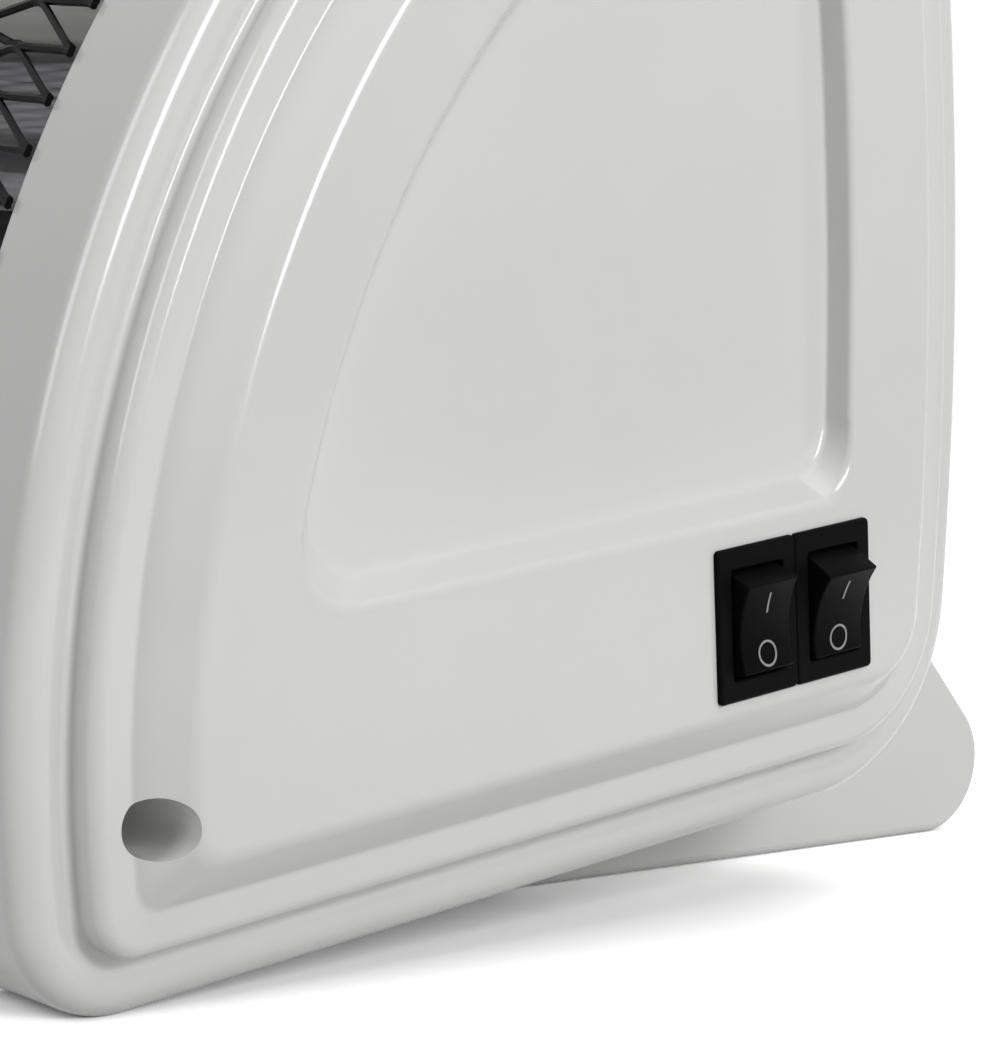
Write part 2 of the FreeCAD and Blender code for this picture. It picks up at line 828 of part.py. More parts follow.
def build():
    blank = cheek_blank()
    ring = casing_ring()
    casing_body = slab(casing_inset - fit_gap, -plate_x, plate_x)
    inner_body = slab(casing_inset + sheet_thickness, -plate_x, plate_x)
    plate = end_plate()
    foot = right_foot(casing_body)
    places = switch_places()
    low_tube, high_tube = tube_centres(-tube_end_x())
    return {
        "right_cheek": right_cheek(blank),
        "left_cheek": mirrored(blank),
        "right_end_plate": plate,
        "left_end_plate": mirrored(plate),
        "base_pan": base_pan(ring),
        "back_cover": back_cover(ring),
        "front_guard": front_guard(),
        "reflector": reflector(),
        "lower_quartz_tube": quartz_tube(low_tube),
        "upper_quartz_tube": quartz_tube(high_tube),
        "lower_heating_coil": heating_coil(low_tube),
        "upper_heating_coil": heating_coil(high_tube),
        "tube_end_caps": tube_caps(),
        "tube_studs": tube_studs(),
        "front_switch_frame": switch_frame(places["front"]),
        "rear_switch_frame": switch_frame(places["rear"]),
        "front_rocker": rocker(places["front"], front_rocker_rest),
        "rear_rocker": rocker(places["rear"], rocker_tilt),
        "switch_blades": switch_blades(),
        "terminal_block": terminal_block(),
        "cord_bushing": cord_bushing(),
        "right_foot": foot,
        "left_foot": mirrored(foot),
        "carry_handle": carry_handle(casing_body),
        "tip_switch_housing": tip_housing(inner_body),
        "tip_switch_plunger": tip_plunger(),
        "tip_switch_spring": tip_spring(),
        "cheek_screws": cheek_screws(),
        "cover_screws": cover_screws(),
    }


def standing(parts):
    # Leaned forward onto the floor, with the middle of the box's underside at the origin
    for shape in parts.values():
        shape.rotate(nowhere, across, forward_lean)
    box = Part.makeCompound(list(parts.values())).optimalBoundingBox(False)
    shift = Vec(-(box.XMin + box.XMax) / 2, -(box.YMin + box.YMax) / 2, -floor_level)
    for shape in parts.values():
        shape.translate(shift)
    print("origin moved by", shift.x, shift.y, shift.z)
    return shift


parts = build()
origin_shift = standing(parts)
os.makedirs("parts", exist_ok=True)
for name, shape in parts.items():
    shape.exportStep(os.path.join("parts", name + ".step"))
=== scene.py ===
import bpy
import json
import math
import numpy as np
from mathutils import Matrix, Vector


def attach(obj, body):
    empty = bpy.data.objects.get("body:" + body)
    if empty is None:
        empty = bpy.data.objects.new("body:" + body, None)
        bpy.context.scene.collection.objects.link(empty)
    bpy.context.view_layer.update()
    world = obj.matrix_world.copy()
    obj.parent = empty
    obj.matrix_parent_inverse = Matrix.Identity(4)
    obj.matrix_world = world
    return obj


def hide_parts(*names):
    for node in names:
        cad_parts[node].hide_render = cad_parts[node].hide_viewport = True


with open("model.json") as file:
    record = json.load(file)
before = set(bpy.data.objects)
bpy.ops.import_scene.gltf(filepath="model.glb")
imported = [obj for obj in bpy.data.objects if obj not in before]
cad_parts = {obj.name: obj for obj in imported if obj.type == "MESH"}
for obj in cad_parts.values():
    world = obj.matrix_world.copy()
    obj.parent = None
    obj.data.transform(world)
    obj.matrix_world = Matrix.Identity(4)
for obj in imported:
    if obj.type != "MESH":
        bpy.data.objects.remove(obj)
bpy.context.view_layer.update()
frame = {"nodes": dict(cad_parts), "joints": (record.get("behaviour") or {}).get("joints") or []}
print("frame loaded,", len(frame["nodes"]), "nodes")

mm = 0.001

# Body axes in millimetres: x across, y back from the cheeks' front edge, z up from their bottom edge.
# The front rocker's pin is known in them and in the frame, so it gives the lean and the shift.
body = {"panelX": 170.0, "cheekThickness": 28.5, "plateX": 147.5, "floorZ": 1.7235,
        "pin": (168.3, 112.9, 31.8)}
cut = {"overrun": 2.0, "length": 40.0}  # cutters start or end this far outside what they cut
pinJoint = next(j for j in frame["joints"] if j["name"] == "front_rocker_turn")
lean = math.atan2(pinJoint["axis"][2], pinJoint["axis"][1])
leanTurn = np.array(((1, 0, 0), (0, math.cos(lean), -math.sin(lean)), (0, math.sin(lean), math.cos(lean))))
bodyShift = np.array(pinJoint["pos_m"]) - leanTurn @ np.array(body["pin"]) * mm
rimX = body["panelX"] - body["cheekThickness"]


def toFrame(points):  # body millimetres to frame metres: turned by the lean, then shifted
    return np.asarray(points, float) @ leanTurn.T * mm + bodyShift


def uprightToBody(points):  # drawn standing on the floor, turned back into the leaning body's axes
    return np.asarray(points, float) @ leanTurn


# Nodes and colours


def hexColour(code):  # sRGB hex to linear colour
    share = np.array([int(code[i:i + 2], 16) for i in (0, 2, 4)]) / 255
    return (*np.where(share <= 0.04045, share / 12.92, ((share + 0.055) / 1.055) ** 2.4), 1.0)


def addNode(tree, kind, inputs=None, **settings):  # a node with its settings; a socket among inputs is linked
    node = tree.nodes.new(kind)
    for key, value in settings.items():
        setattr(node, key, value)
    for key, value in (inputs or {}).items():
        if isinstance(value, bpy.types.NodeSocket):
            tree.links.new(value, node.inputs[key])
        else:
            node.inputs[key].default_value = value
    return node


def newMaterial(name):  # an empty node tree that starts from object coordinates
    material = bpy.data.materials.new(name)
    material.use_nodes = True
    tree = material.node_tree
    tree.nodes.clear()
    place = addNode(tree, "ShaderNodeTexCoord").outputs["Object"]
    return material, tree, place


patternSpan = (0.3, 0.7)  # most values of a noise lie between these


def finishSurface(tree, pattern, tones, rough, sockets, gloss=None, relief=None):
    # two tones mixed by a pattern, and a range of roughness spread by the same pattern or by one of its own;
    # relief is a pattern with a strength and a depth in millimetres
    first, second = (hexColour(tone) for tone in tones)
    colour = addNode(tree, "ShaderNodeMix", {"Factor": pattern, 6: first, 7: second}, data_type="RGBA")
    spread = addNode(tree, "ShaderNodeMapRange", {"Value": pattern if gloss is None else gloss,
                                                  "From Min": patternSpan[0], "From Max": patternSpan[1],
                                                  "To Min": rough[0], "To Max": rough[1]})
    sockets = {"Base Color": colour.outputs[2], "Roughness": spread.outputs["Result"], **sockets}
    if relief:
        height, strength, depthMm = relief
        bump = addNode(tree, "ShaderNodeBump", {"Height": height, "Strength": strength,
                                                "Distance": depthMm * mm})
        sockets["Normal"] = bump.outputs["Normal"]
    shader = addNode(tree, "ShaderNodeBsdfPrincipled", sockets)
    addNode(tree, "ShaderNodeOutputMaterial", {"Surface": shader.outputs["BSDF"]})


def whiteAbs():
    # Moulded ABS, semi-gloss: a faint orange peel from the tool and hardly any change of tone
    material, tree, place = newMaterial("white_moulded_abs")
    cloud = addNode(tree, "ShaderNodeTexNoise", {"Vector": place, "Scale": 1 / (22.0 * mm)}).outputs["Fac"]
    peel = addNode(tree, "ShaderNodeTexNoise", {"Vector": place, "Scale": 1 / (1.6 * mm)}).outputs["Fac"]
    finishSurface(tree, cloud, ("dededd", "e2e2e1"), (0.15, 0.2), {"IOR": 1.52}, relief=(peel, 0.04, 0.03))
    return material


def whiteEnamel():
    # Baked enamel on steel sheet: smooth, with a longer peel than the mouldings
    material, tree, place = newMaterial("white_baked_enamel")
    cloud = addNode(tree, "ShaderNodeTexNoise", {"Vector": place, "Scale": 1 / (35.0 * mm)}).outputs["Fac"]
    peel = addNode(tree, "ShaderNodeTexNoise", {"Vector": place, "Scale": 1 / (2.4 * mm)}).outputs["Fac"]
    finishSurface(tree, cloud, ("dcdcdb", "e0e0df"), (0.2, 0.26), {"IOR": 1.5}, relief=(peel, 0.15, 0.06))
    return material


def blackPowderCoat():
    # Gloss black powder coat on cut steel net: runs and lumps that break up the highlights
    material, tree, place = newMaterial("black_powder_coat")
    cloud = addNode(tree, "ShaderNodeTexNoise", {"Vector": place, "Scale": 1 / (4.0 * mm)}).outputs["Fac"]
    lumps = addNode(tree, "ShaderNodeTexNoise", {"Vector": place, "Scale": 1 / (0.9 * mm)}).outputs["Fac"]
    finishSurface(tree, cloud, ("0a0a0b", "101011"), (0.14, 0.22), {"IOR": 1.5, "Specular IOR Level": 0.07},
                  relief=(lumps, 0.3, 0.08))
    return material


def aluminiumWithPaintedShade():
    # Rolled aluminium, nearly a mirror, with fine rolling lines along the sheet; its colour is painted dark
    # grey, far below bright aluminium, as painted shade of the hollow behind the net
    material, tree, place = newMaterial("rolled_aluminium_painted_shade")
    # the lines are about 80 mm long and 0.7 mm apart
    lines = addNode(tree, "ShaderNodeMapping", {"Vector": place, "Scale": (6.0, 700.0, 700.0)}).outputs[0]
    rolled = addNode(tree, "ShaderNodeTexNoise", {"Vector": lines, "Scale": 2.0, "Detail": 3.0}).outputs[0]
    cloud = addNode(tree, "ShaderNodeTexNoise", {"Vector": place, "Scale": 1 / (18.0 * mm)}).outputs["Fac"]
    # dark grey metal colours: painted shade standing in for the dark hollow, not the sheet's own bright tone
    finishSurface(tree, cloud, ("5e5e60", "6e6e70"), (0.06, 0.14), {"Metallic": 1.0}, gloss=rolled,
                  relief=(rolled, 0.08, 0.03))
    return material


def zincSheet():
    # Zinc plated steel sheet: dull grey with faint spangle
    material, tree, place = newMaterial("zinc_plated_steel")
    cells = addNode(tree, "ShaderNodeTexVoronoi", {"Vector": place, "Scale": 1 / (5.0 * mm)})
    finishSurface(tree, cells.outputs["Distance"], ("9b9da0", "b4b6b8"), (0.34, 0.46), {"Metallic": 1.0})
    return material


def milkyQuartz():
    # Fused quartz tube: clear with faint milky drawing lines along its length
    material, tree, place = newMaterial("milky_fused_quartz")
    # the lines are 250 mm long and 2 mm apart
    lines = addNode(tree, "ShaderNodeMapping", {"Vector": place, "Scale": (4.0, 500.0, 500.0)}).outputs[0]
    drawn = addNode(tree, "ShaderNodeTexNoise", {"Vector": lines, "Scale": 1.0}).outputs["Fac"]
    finishSurface(tree, drawn, ("dcdcd8", "efefec"), (0.12, 0.25), {"IOR": 1.46, "Transmission Weight": 0.7})
    return material


def resistanceWire():
    # Oxidised resistance wire: dark grey metal with a faint brown bloom
    material, tree, place = newMaterial("oxidised_resistance_wire")
    bloom = addNode(tree, "ShaderNodeTexNoise", {"Vector": place, "Scale": 1 / (6.0 * mm)}).outputs["Fac"]
    finishSurface(tree, bloom, ("4a4644", "6a625d"), (0.4, 0.55), {"Metallic": 1.0})
    return material


def steatite():
    # Unglazed steatite: chalky off-white with fine grain
    material, tree, place = newMaterial("unglazed_steatite")
    grain = addNode(tree, "ShaderNodeTexNoise", {"Vector": place, "Scale": 1 / (0.7 * mm)}).outputs["Fac"]
    finishSurface(tree, grain, ("d6d1c6", "e4e0d6"), (0.55, 0.75), {"IOR": 1.5}, relief=(grain, 0.2, 0.05))
    return material


def stampedBrass():
    # Stamped brass strip: warm metal, slightly dulled by handling
    material, tree, place = newMaterial("stamped_brass")
    dull = addNode(tree, "ShaderNodeTexNoise", {"Vector": place, "Scale": 1 / (3.0 * mm)}).outputs["Fac"]
    finishSurface(tree, dull, ("b79a5c", "d2b672"), (0.29, 0.42), {"Metallic": 1.0})
    return material


def blackNylon():
    # Black glass-filled nylon: matt, with the fine spark texture of its tool
    material, tree, place = newMaterial("black_moulded_nylon")
    spark = addNode(tree, "ShaderNodeTexNoise", {"Vector": place, "Scale": 1 / (0.35 * mm)}).outputs["Fac"]
    cloud = addNode(tree, "ShaderNodeTexNoise", {"Vector": place, "Scale": 1 / (6.0 * mm)}).outputs["Fac"]
    finishSurface(tree, cloud, ("0d0d0d", "111111"), (0.42, 0.5), {"IOR": 1.5, "Specular IOR Level": 0.02},
                  relief=(spark, 0.1, 0.03))
    return material


def satinRocker():
    # Satin black rocker: smoother than its frame, with its roughness varied a little in soft patches
    material, tree, place = newMaterial("satin_black_rocker")
    cloud = addNode(tree, "ShaderNodeTexNoise", {"Vector": place, "Scale": 1 / (5.0 * mm)}).outputs["Fac"]
    spark = addNode(tree, "ShaderNodeTexNoise", {"Vector": place, "Scale": 1 / (0.5 * mm)}).outputs["Fac"]
    finishSurface(tree, cloud, ("0c0c0c", "101010"), (0.34, 0.42), {"IOR": 1.5, "Specular IOR Level": 0.02},
                  relief=(spark, 0.06, 0.03))
    return material


def markPaint():
    # Pad-printed grey paint, a little uneven in tone
    material, tree, place = newMaterial("grey_pad_print")
    wear = addNode(tree, "ShaderNodeTexNoise", {"Vector": place, "Scale": 1 / (0.6 * mm)}).outputs["Fac"]
    finishSurface(tree, wear, ("8c8c8c", "a2a2a2"), (0.45, 0.6), {"IOR": 1.5})
    return material


def naturalNylon():
    # Natural nylon: slightly yellow and waxy
    material, tree, place = newMaterial("natural_nylon")
    cloud = addNode(tree, "ShaderNodeTexNoise", {"Vector": place, "Scale": 1 / (5.0 * mm)}).outputs["Fac"]
    finishSurface(tree, cloud, ("cfcabb", "dcd8ca"), (0.38, 0.5), {"IOR": 1.53})
    return material


def blackRubber():
    # Moulded rubber: dark, matt and faintly dusty
    material, tree, place = newMaterial("moulded_black_rubber")
    dust = addNode(tree, "ShaderNodeTexNoise", {"Vector": place, "Scale": 1 / (2.0 * mm)}).outputs["Fac"]
    finishSurface(tree, dust, ("1b1b1b", "242424"), (0.6, 0.75), {"IOR": 1.5, "Specular IOR Level": 0.25},
                  relief=(dust, 0.15, 0.05))
    return material


def brightScrew():
    # Nickel plated screw: bright, with tiny marks from the driver
    material, tree, place = newMaterial("nickel_plated_screw")
    marks = addNode(tree, "ShaderNodeTexNoise", {"Vector": place, "Scale": 1 / (0.8 * mm)}).outputs["Fac"]
    finishSurface(tree, marks, ("a9a8a5", "c3c2bf"), (0.29, 0.4), {"Metallic": 1.0})
    return material


finishes = {"white_plastic": whiteAbs(), "white_enamel": whiteEnamel(), "zinc_steel": zincSheet(),
            "black_coated_steel": blackPowderCoat(), "bright_aluminium": aluminiumWithPaintedShade(),
            "quartz": milkyQuartz(), "resistance_wire": resistanceWire(), "ceramic": steatite(),
            "brass": stampedBrass(), "black_plastic": blackNylon(), "black_rocker": satinRocker(),
            "natural_plastic": naturalNylon(), "black_rubber": blackRubber()}
markFinish = markPaint()
screwFinish = brightScrew()
print("materials made,", len(bpy.data.materials))

# Meshes


def gridFaces(rows, columns, closeRows=False, closeColumns=False):
    # quads between neighbours on a grid; a closed way joins its last line to its first
    r, c = np.meshgrid(np.arange(rows if closeRows else rows - 1),
                       np.arange(columns if closeColumns else columns - 1), indexing="ij")
    nextR, nextC = (r + 1) % rows, (c + 1) % columns
    corners = (r * columns + c, nextR * columns + c, nextR * columns + nextC, r * columns + nextC)
    return np.stack(corners, -1).reshape(-1, 4)


def capped(rows, columns):
    # a tube of rings closed by one flat face at each end
    sides = gridFaces(rows, columns, closeColumns=True).tolist()
    first = np.arange(columns)
    return sides + [first.tolist(), (first[::-1] + (rows - 1) * columns).tolist()]


def newObject(name, points, faces):
    # mesh in frame metres, turned inside out if its signed volume is negative
    mesh = bpy.data.meshes.new(name)
    mesh.from_pydata(toFrame(points).tolist(), [], faces if isinstance(faces, list) else faces.tolist())
    mesh.calc_loop_triangles()
    ids = np.zeros(len(mesh.loop_triangles) * 3, int)
    mesh.loop_triangles.foreach_get("vertices", ids)
    spots = np.zeros(len(mesh.vertices) * 3)
    mesh.vertices.foreach_get("co", spots)
    spots = spots.reshape(-1, 3) - spots.reshape(-1, 3).mean(0)
    a, b, c = spots[ids.reshape(-1, 3).T]
    if np.einsum("ij,ij->i", a, np.cross(b, c)).sum() < 0:
        mesh.flip_normals()
    item = bpy.data.objects.new(name, mesh)
    bpy.context.scene.collection.objects.link(item)
    return item


def settle(item):
    # the modifiers' result becomes the mesh
    bpy.context.view_layer.update()
    done = bpy.data.meshes.new_from_object(item.evaluated_get(bpy.context.evaluated_depsgraph_get()))
    item.modifiers.clear()
    item.data = done


def carve(item, cutters):
    # takes the room of each cutter out of a piece and drops the cutters
    for cutter in cutters:
        taking = item.modifiers.new("cut", "BOOLEAN")
        taking.object = cutter
        taking.operation = "DIFFERENCE"
        taking.solver = "EXACT"
    settle(item)
    for cutter in cutters:
        bpy.data.objects.remove(cutter)


def thicken(item, thicknessMm, offset=-1.0):  # a surface becomes a wall
    wall = item.modifiers.new("wall", "SOLIDIFY")
    wall.thickness = thicknessMm * mm
    wall.offset = offset
    wall.use_even_offset = True
    settle(item)


def finishPiece(item, slotName, nodes, bodyName="body", sharpDeg=32.0, finish=None):
    # one material on the whole piece, soft shading up to an angle, and what it rides on and stands for
    item.data.materials.clear()
    item.data.materials.append(finish or finishes[slotName])
    item.data.polygons.foreach_set("material_index", np.zeros(len(item.data.polygons), np.int32))
    item.data.shade_smooth()
    item.data.set_sharp_from_angle(angle=math.radians(sharpDeg))
    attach(item, bodyName)
    if nodes:
        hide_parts(*nodes)
    return item


def roundedLine(points, radii, steps=8, near=0.15):
    # a line through the points whose corners are arcs: each arc is tangent to both runs, and one more point
    # just before and after it keeps the flats flat
    points = np.array(points, float)
    parts = [points[:1]]
    for before, corner, after, radius in zip(points[:-2], points[1:-1], points[2:], radii):
        u = (before - corner) / np.linalg.norm(before - corner)
        v = (after - corner) / np.linalg.norm(after - corner)
        half = math.acos(np.clip(u @ v, -1, 1)) / 2
        reach = radius / math.tan(half)
        middle = (u + v) / np.linalg.norm(u + v)
        centre = corner + middle * (radius / math.sin(half))
        sweep = (math.pi - 2 * half) * np.linspace(-0.5, 0.5, steps + 1)[:, None]
        side = (v - u) / np.linalg.norm(v - u)
        bend = centre + radius * (-middle * np.cos(sweep) + side * np.sin(sweep))
        parts += [(corner + u * (reach + near))[None], bend, (corner + v * (reach + near))[None]]
    return np.vstack(parts + [points[-1:]])


def spanned(points, step):
    # a line cut into runs no longer than a step
    lengths = np.r_[0, np.cumsum(np.linalg.norm(np.diff(points, axis=0), axis=1))]
    counts = np.maximum(1, np.ceil(np.diff(lengths) / step).astype(int))
    spots = np.concatenate([np.linspace(a, b, n, endpoint=False) for a, b, n in
                            zip(lengths[:-1], lengths[1:], counts)] + [lengths[-1:]])
    return np.stack([np.interp(spots, lengths, points[:, i]) for i in range(points.shape[1])], 1)


def turned(profile, start, axis, sides=40, close=True):
    # a profile of (along, radius) turned about an axis through a start point
    axis = np.array(axis, float) / np.linalg.norm(axis)
    aside = np.cross(axis, (0.3, 0.5, 0.9))
    aside /= np.linalg.norm(aside)
    third = np.cross(axis, aside)
    turn = np.linspace(0, 2 * math.pi, sides, endpoint=False)
    ring = np.cos(turn)[:, None] * aside + np.sin(turn)[:, None] * third
    profile = np.asarray(profile, float)
    points = np.asarray(start, float) + profile[:, None, :1] * axis + profile[:, None, 1:] * ring
    count = len(profile)
    faces = gridFaces(count, sides, closeRows=True, closeColumns=True) if close else capped(count, sides)
    return points.reshape(-1, 3), faces


def gathered(lumps):
    # several lumps of points and faces as one mesh
    points, faces, count = [], [], 0
    for lumpPoints, lumpFaces in lumps:
        points.append(lumpPoints)
        lumpFaces = lumpFaces if isinstance(lumpFaces, list) else lumpFaces.tolist()
        faces += [[i + count for i in face] for face in lumpFaces]
        count += len(lumpPoints)
    return np.vstack(points), faces


# Side outline of the cheeks

cheek = {"frontArc": 162.0, "frontArcZ": 20.0, "rearArc": 500.0, "rearArcZ": 90.0, "depth": 169.4,
         "corners": (14.0, 28.0, 24.0), "leastCorner": 3.5, "wall": 2.4,
         "rimDrop": 9.5, "beadRadius": 3.4, "stepInset": 8.0, "stepDrop": 5.5, "stepRadius": 1.9,
         "bevelInset": 13.4, "bevelRadius": 1.0, "panelInset": 19.1, "panelRadius": 3.0, "lipRadius": 0.4,
         "grooveDip": 1.4, "grooveRadius": 0.9, "crestInset": 5.2, "crestRadius": 4.5,
         "recessInset": 33.6, "recessBottom": 47.5, "recessDepth": 4.7, "recessCorner": 8.0,
         "floorRun": 9.0, "recessLand": 6.0, "panelLand": 3.0, "lipRun": 2.0,
         "steepWall": {"shift": 1.4, "draft": 0.15, "floorRadius": 0.5, "edgeRadius": 1.0},
         "gentleWall": {"shift": -2.0, "draft": 3.6, "floorRadius": 3.0, "edgeRadius": 2.0},
         "counts": (70, 26, 170, 30, 90, 30), "panelRings": 3,
         "postInset": 15.6, "postAngles": (1.5, 74.0), "postRadius": 5.8, "postFloor": 2.4, "boreRadius": 3.8,
         "holeRadius": 2.1}


def sideLoops(inset, bottom, corners):
    # closed side outlines, one row for each inset: bottom edge, front corner, front arc, top corner, rear arc
    # and rear corner, each a range of angles about its own centre
    frontCorner, rearCorner, topCorner = corners
    fy, fz = cheek["frontArc"], cheek["frontArcZ"]
    ry, rz = cheek["depth"] - cheek["rearArc"], cheek["rearArcZ"]
    front, rear = cheek["frontArc"] - inset, cheek["rearArc"] - inset
    lowFrontZ, lowRearZ = bottom + frontCorner, bottom + rearCorner
    lowFrontY = fy - np.sqrt((front - frontCorner) ** 2 - (lowFrontZ - fz) ** 2)
    lowRearY = ry + np.sqrt((rear - rearCorner) ** 2 - (lowRearZ - rz) ** 2)
    apart = math.hypot(ry - fy, rz - fz)
    wayY, wayZ = (ry - fy) / apart, (rz - fz) / apart
    along = ((front - topCorner) ** 2 - (rear - topCorner) ** 2 + apart ** 2) / (2 * apart)
    rise = np.sqrt((front - topCorner) ** 2 - along ** 2)
    topY, topZ = fy + wayY * along + wayZ * rise, fz + wayZ * along - wayY * rise
    whole = 2 * math.pi
    frontLow = np.arctan2(lowFrontZ - fz, lowFrontY - fy)
    frontLow = np.where(frontLow > 0, frontLow - whole, frontLow)
    frontHigh = np.arctan2(topZ - fz, topY - fy) - whole
    rearHigh = np.arctan2(topZ - rz, topY - ry) - whole
    rearLow = np.arctan2(lowRearZ - rz, lowRearY - ry) - whole
    down = np.full_like(inset, -math.pi / 2)
    nothing = np.zeros_like(inset)
    arcs = ((lowFrontY, lowFrontZ, frontCorner, down, frontLow),
            (fy + nothing, fz + nothing, front, frontLow, frontHigh),
            (topY, topZ, topCorner, frontHigh, rearHigh),
            (ry + nothing, rz + nothing, rear, rearHigh, rearLow),
            (lowRearY, lowRearZ, rearCorner, rearLow, down - whole))
    share = np.linspace(0, 1, cheek["counts"][0], endpoint=False)
    ys = [lowRearY[:, None] + (lowFrontY - lowRearY)[:, None] * share]
    zs = [np.repeat(bottom[:, None], len(share), 1)]
    for (cy, cz, radius, begin, end), count in zip(arcs, cheek["counts"][1:]):
        share = np.linspace(0, 1, count, endpoint=False)
        angle = begin[:, None] + (end - begin)[:, None] * share
        ys.append(cy[:, None] + radius[:, None] * np.cos(angle))
        zs.append(cz[:, None] + radius[:, None] * np.sin(angle))
    return np.stack((np.hstack(ys), np.hstack(zs)), -1)


def outlineLoops(inset):
    # outer outline of the cheek moved in by each inset, with corners that shrink as it moves
    inset = np.atleast_1d(np.asarray(inset, float))
    corners = [np.maximum(full - inset, cheek["leastCorner"]) for full in cheek["corners"]]
    return sideLoops(inset, inset, corners)


def recessLoops(inset):
    # outline of the recess at each inset, with the same corners at all of them
    inset = np.atleast_1d(np.asarray(inset, float))
    bottom = cheek["recessBottom"] + inset - cheek["recessInset"]
    return sideLoops(inset, bottom, [np.full_like(inset, cheek["recessCorner"])] * 3)


def atFront(angleDeg, radius, x):
    # point at an angle above the horizontal on a circle about the front arc's centre
    turn = np.radians(angleDeg)
    y = cheek["frontArc"] - radius * np.cos(turn)
    z = cheek["frontArcZ"] + radius * np.sin(turn)
    return np.stack(np.broadcast_arrays(x, y, z), -1)


def cheekSolid(name, side, recessLines, skinLine):
    # section lines of (inset, x) carried round the recess outline and round the outer outline, with rings
    # blended across the flat panel between them; the recess wall is steep along the rear arc and gentle
    # elsewhere, with its columns blended from one to the other round the corners
    steep, gentle = (recessLoops(line[:, 0]) for line in recessLines)
    bottom, frontCorner, frontArc, topCorner, rearArc, rearCorner = cheek["counts"]
    share = np.r_[np.zeros(bottom + frontCorner + frontArc), np.linspace(0, 1, topCorner), np.ones(rearArc),
                  np.linspace(1, 0, rearCorner)][None, :, None]
    recessRings = gentle + (steep - gentle) * share
    recessLevels = recessLines[1][:, None, 1:] + (recessLines[0] - recessLines[1])[:, None, 1:] * share
    skinRings = outlineLoops(skinLine[:, 0])
    across = np.linspace(0, 1, cheek["panelRings"] + 2)[1:-1, None, None]
    panelRings = recessRings[-1] + (skinRings[0] - recessRings[-1]) * across
    rings = np.concatenate((recessRings, panelRings, skinRings))
    flat = np.full((*panelRings.shape[:2], 1), skinLine[0, 1])
    skinLevels = np.broadcast_to(skinLine[:, None, 1:], (*skinRings.shape[:2], 1))
    xs = np.concatenate((recessLevels, flat, skinLevels)) * side
    points = np.concatenate((xs, rings), -1).reshape(-1, 3)
    return newObject(name, points, capped(*rings.shape[:2]))


def recessWall(wall, shift, draft, floorRadius, edgeRadius):
    # from the floor up the wall to the panel, both ends at the same insets for every wall
    panelX = body["panelX"] - wall
    inset, floorX = cheek["recessInset"] - wall, panelX - cheek["recessDepth"]
    return roundedLine([(inset + cheek["floorRun"], floorX), (inset + shift + draft, floorX),
                        (inset + shift, panelX), (inset - cheek["recessLand"], panelX)],
                       (floorRadius, edgeRadius))


def cheekLines(wall, backX):
    # section of the cheek, or of the room one wall inside it, from the recess floor out to the rim, whose
    # face is a crest that falls off into the groove at the step
    panelX = body["panelX"] - wall
    rimLevel, stepLevel = panelX - cheek["rimDrop"], panelX - cheek["stepDrop"]
    stepInset, panelInset = cheek["stepInset"] + wall, cheek["panelInset"] + wall
    bevelInset, crestInset = cheek["bevelInset"] + wall, cheek["crestInset"] + wall
    corners = ((panelInset + cheek["panelLand"], panelX), (panelInset, panelX), (bevelInset, stepLevel),
               (stepInset, stepLevel), (stepInset, rimLevel - cheek["grooveDip"]), (crestInset, rimLevel),
               (wall, rimLevel), (wall, backX), (wall + cheek["lipRun"], backX))
    edges = ("panel", "bevel", "step", "groove", "crest", "bead", "lip")
    skinLine = roundedLine(corners, [cheek[edge + "Radius"] for edge in edges])
    recessLines = [recessWall(wall, **cheek[key]) for key in ("steepWall", "gentleWall")]
    return recessLines, skinLine


def rodAlong(name, start, axis, radius, length, sides=72):  # a plain round bar
    return newObject(name, *turned(((0, radius), (length, radius)), start, axis, sides, close=False))


def boxBetween(name, low, high):  # a box between two opposite corners
    low, high = np.array(low, float), np.array(high, float)
    corner = np.array([(0, 0), (1, 0), (1, 1), (0, 1)])
    ring = low[1:] + corner * (high - low)[1:]
    points = np.vstack([np.c_[np.full(4, x), ring] for x in (low[0], high[0])])
    return newObject(name, points, capped(2, 4))


switch = {"y": 120.4, "z": 31.8, "bezel": (15.0, 21.0), "proud": 0.9, "body": (12.8, 18.8), "bodyDepth": 12.0,
          "floor": 1.6, "opening": (10.0, 15.0), "gap": 0.1, "seat": 0.02, "floorRun": 0.4, "backRun": 1.0,
          "edges": (0.2, 0.35, 0.5, 0.05, 0.1, 0.3), "corner": 0.35, "cornerGrowth": 0.3}


def makeCheek(name, side, cutSwitches):
    # skin less the room inside it; posts for the screws stay in the room and are bored from outside
    panelX, plateX = body["panelX"], body["plateX"]
    shell = cheekSolid(name, side, *cheekLines(0.0, rimX))
    room = cheekSolid("room", side, *cheekLines(cheek["wall"], rimX - cut["overrun"]))
    posts = atFront(np.array(cheek["postAngles"]), cheek["frontArc"] - cheek["postInset"], plateX * side)
    outward = np.array((side, 0, 0))
    carve(room, [rodAlong("post", spot, outward, cheek["postRadius"], cut["length"]) for spot in posts])
    cutters = [room]
    for spot in posts:
        seat = spot + outward * cheek["postFloor"]
        cutters.append(rodAlong("bore", seat, outward, cheek["boreRadius"], cut["length"]))
        through = spot - outward * cut["overrun"]
        cutters.append(rodAlong("hole", through, outward, cheek["holeRadius"], cut["length"]))
    if cutSwitches:
        halfY, halfZ = (size / 2 + switch["gap"] for size in switch["body"])
        for y in (switch["y"] - switch["bezel"][0] / 2, switch["y"] + switch["bezel"][0] / 2):
            cutters.append(boxBetween("pocket", (plateX, y - halfY, switch["z"] - halfZ),
                                      (panelX + cut["overrun"], y + halfY, switch["z"] + halfZ)))
    carve(shell, cutters)
    return finishPiece(shell, "white_plastic", [name])


makeCheek("right_cheek", 1, True).name = "right_cheek_moulding"
makeCheek("left_cheek", -1, False).name = "left_cheek_moulding"
print("cheeks made")

# Casing of enamelled sheet

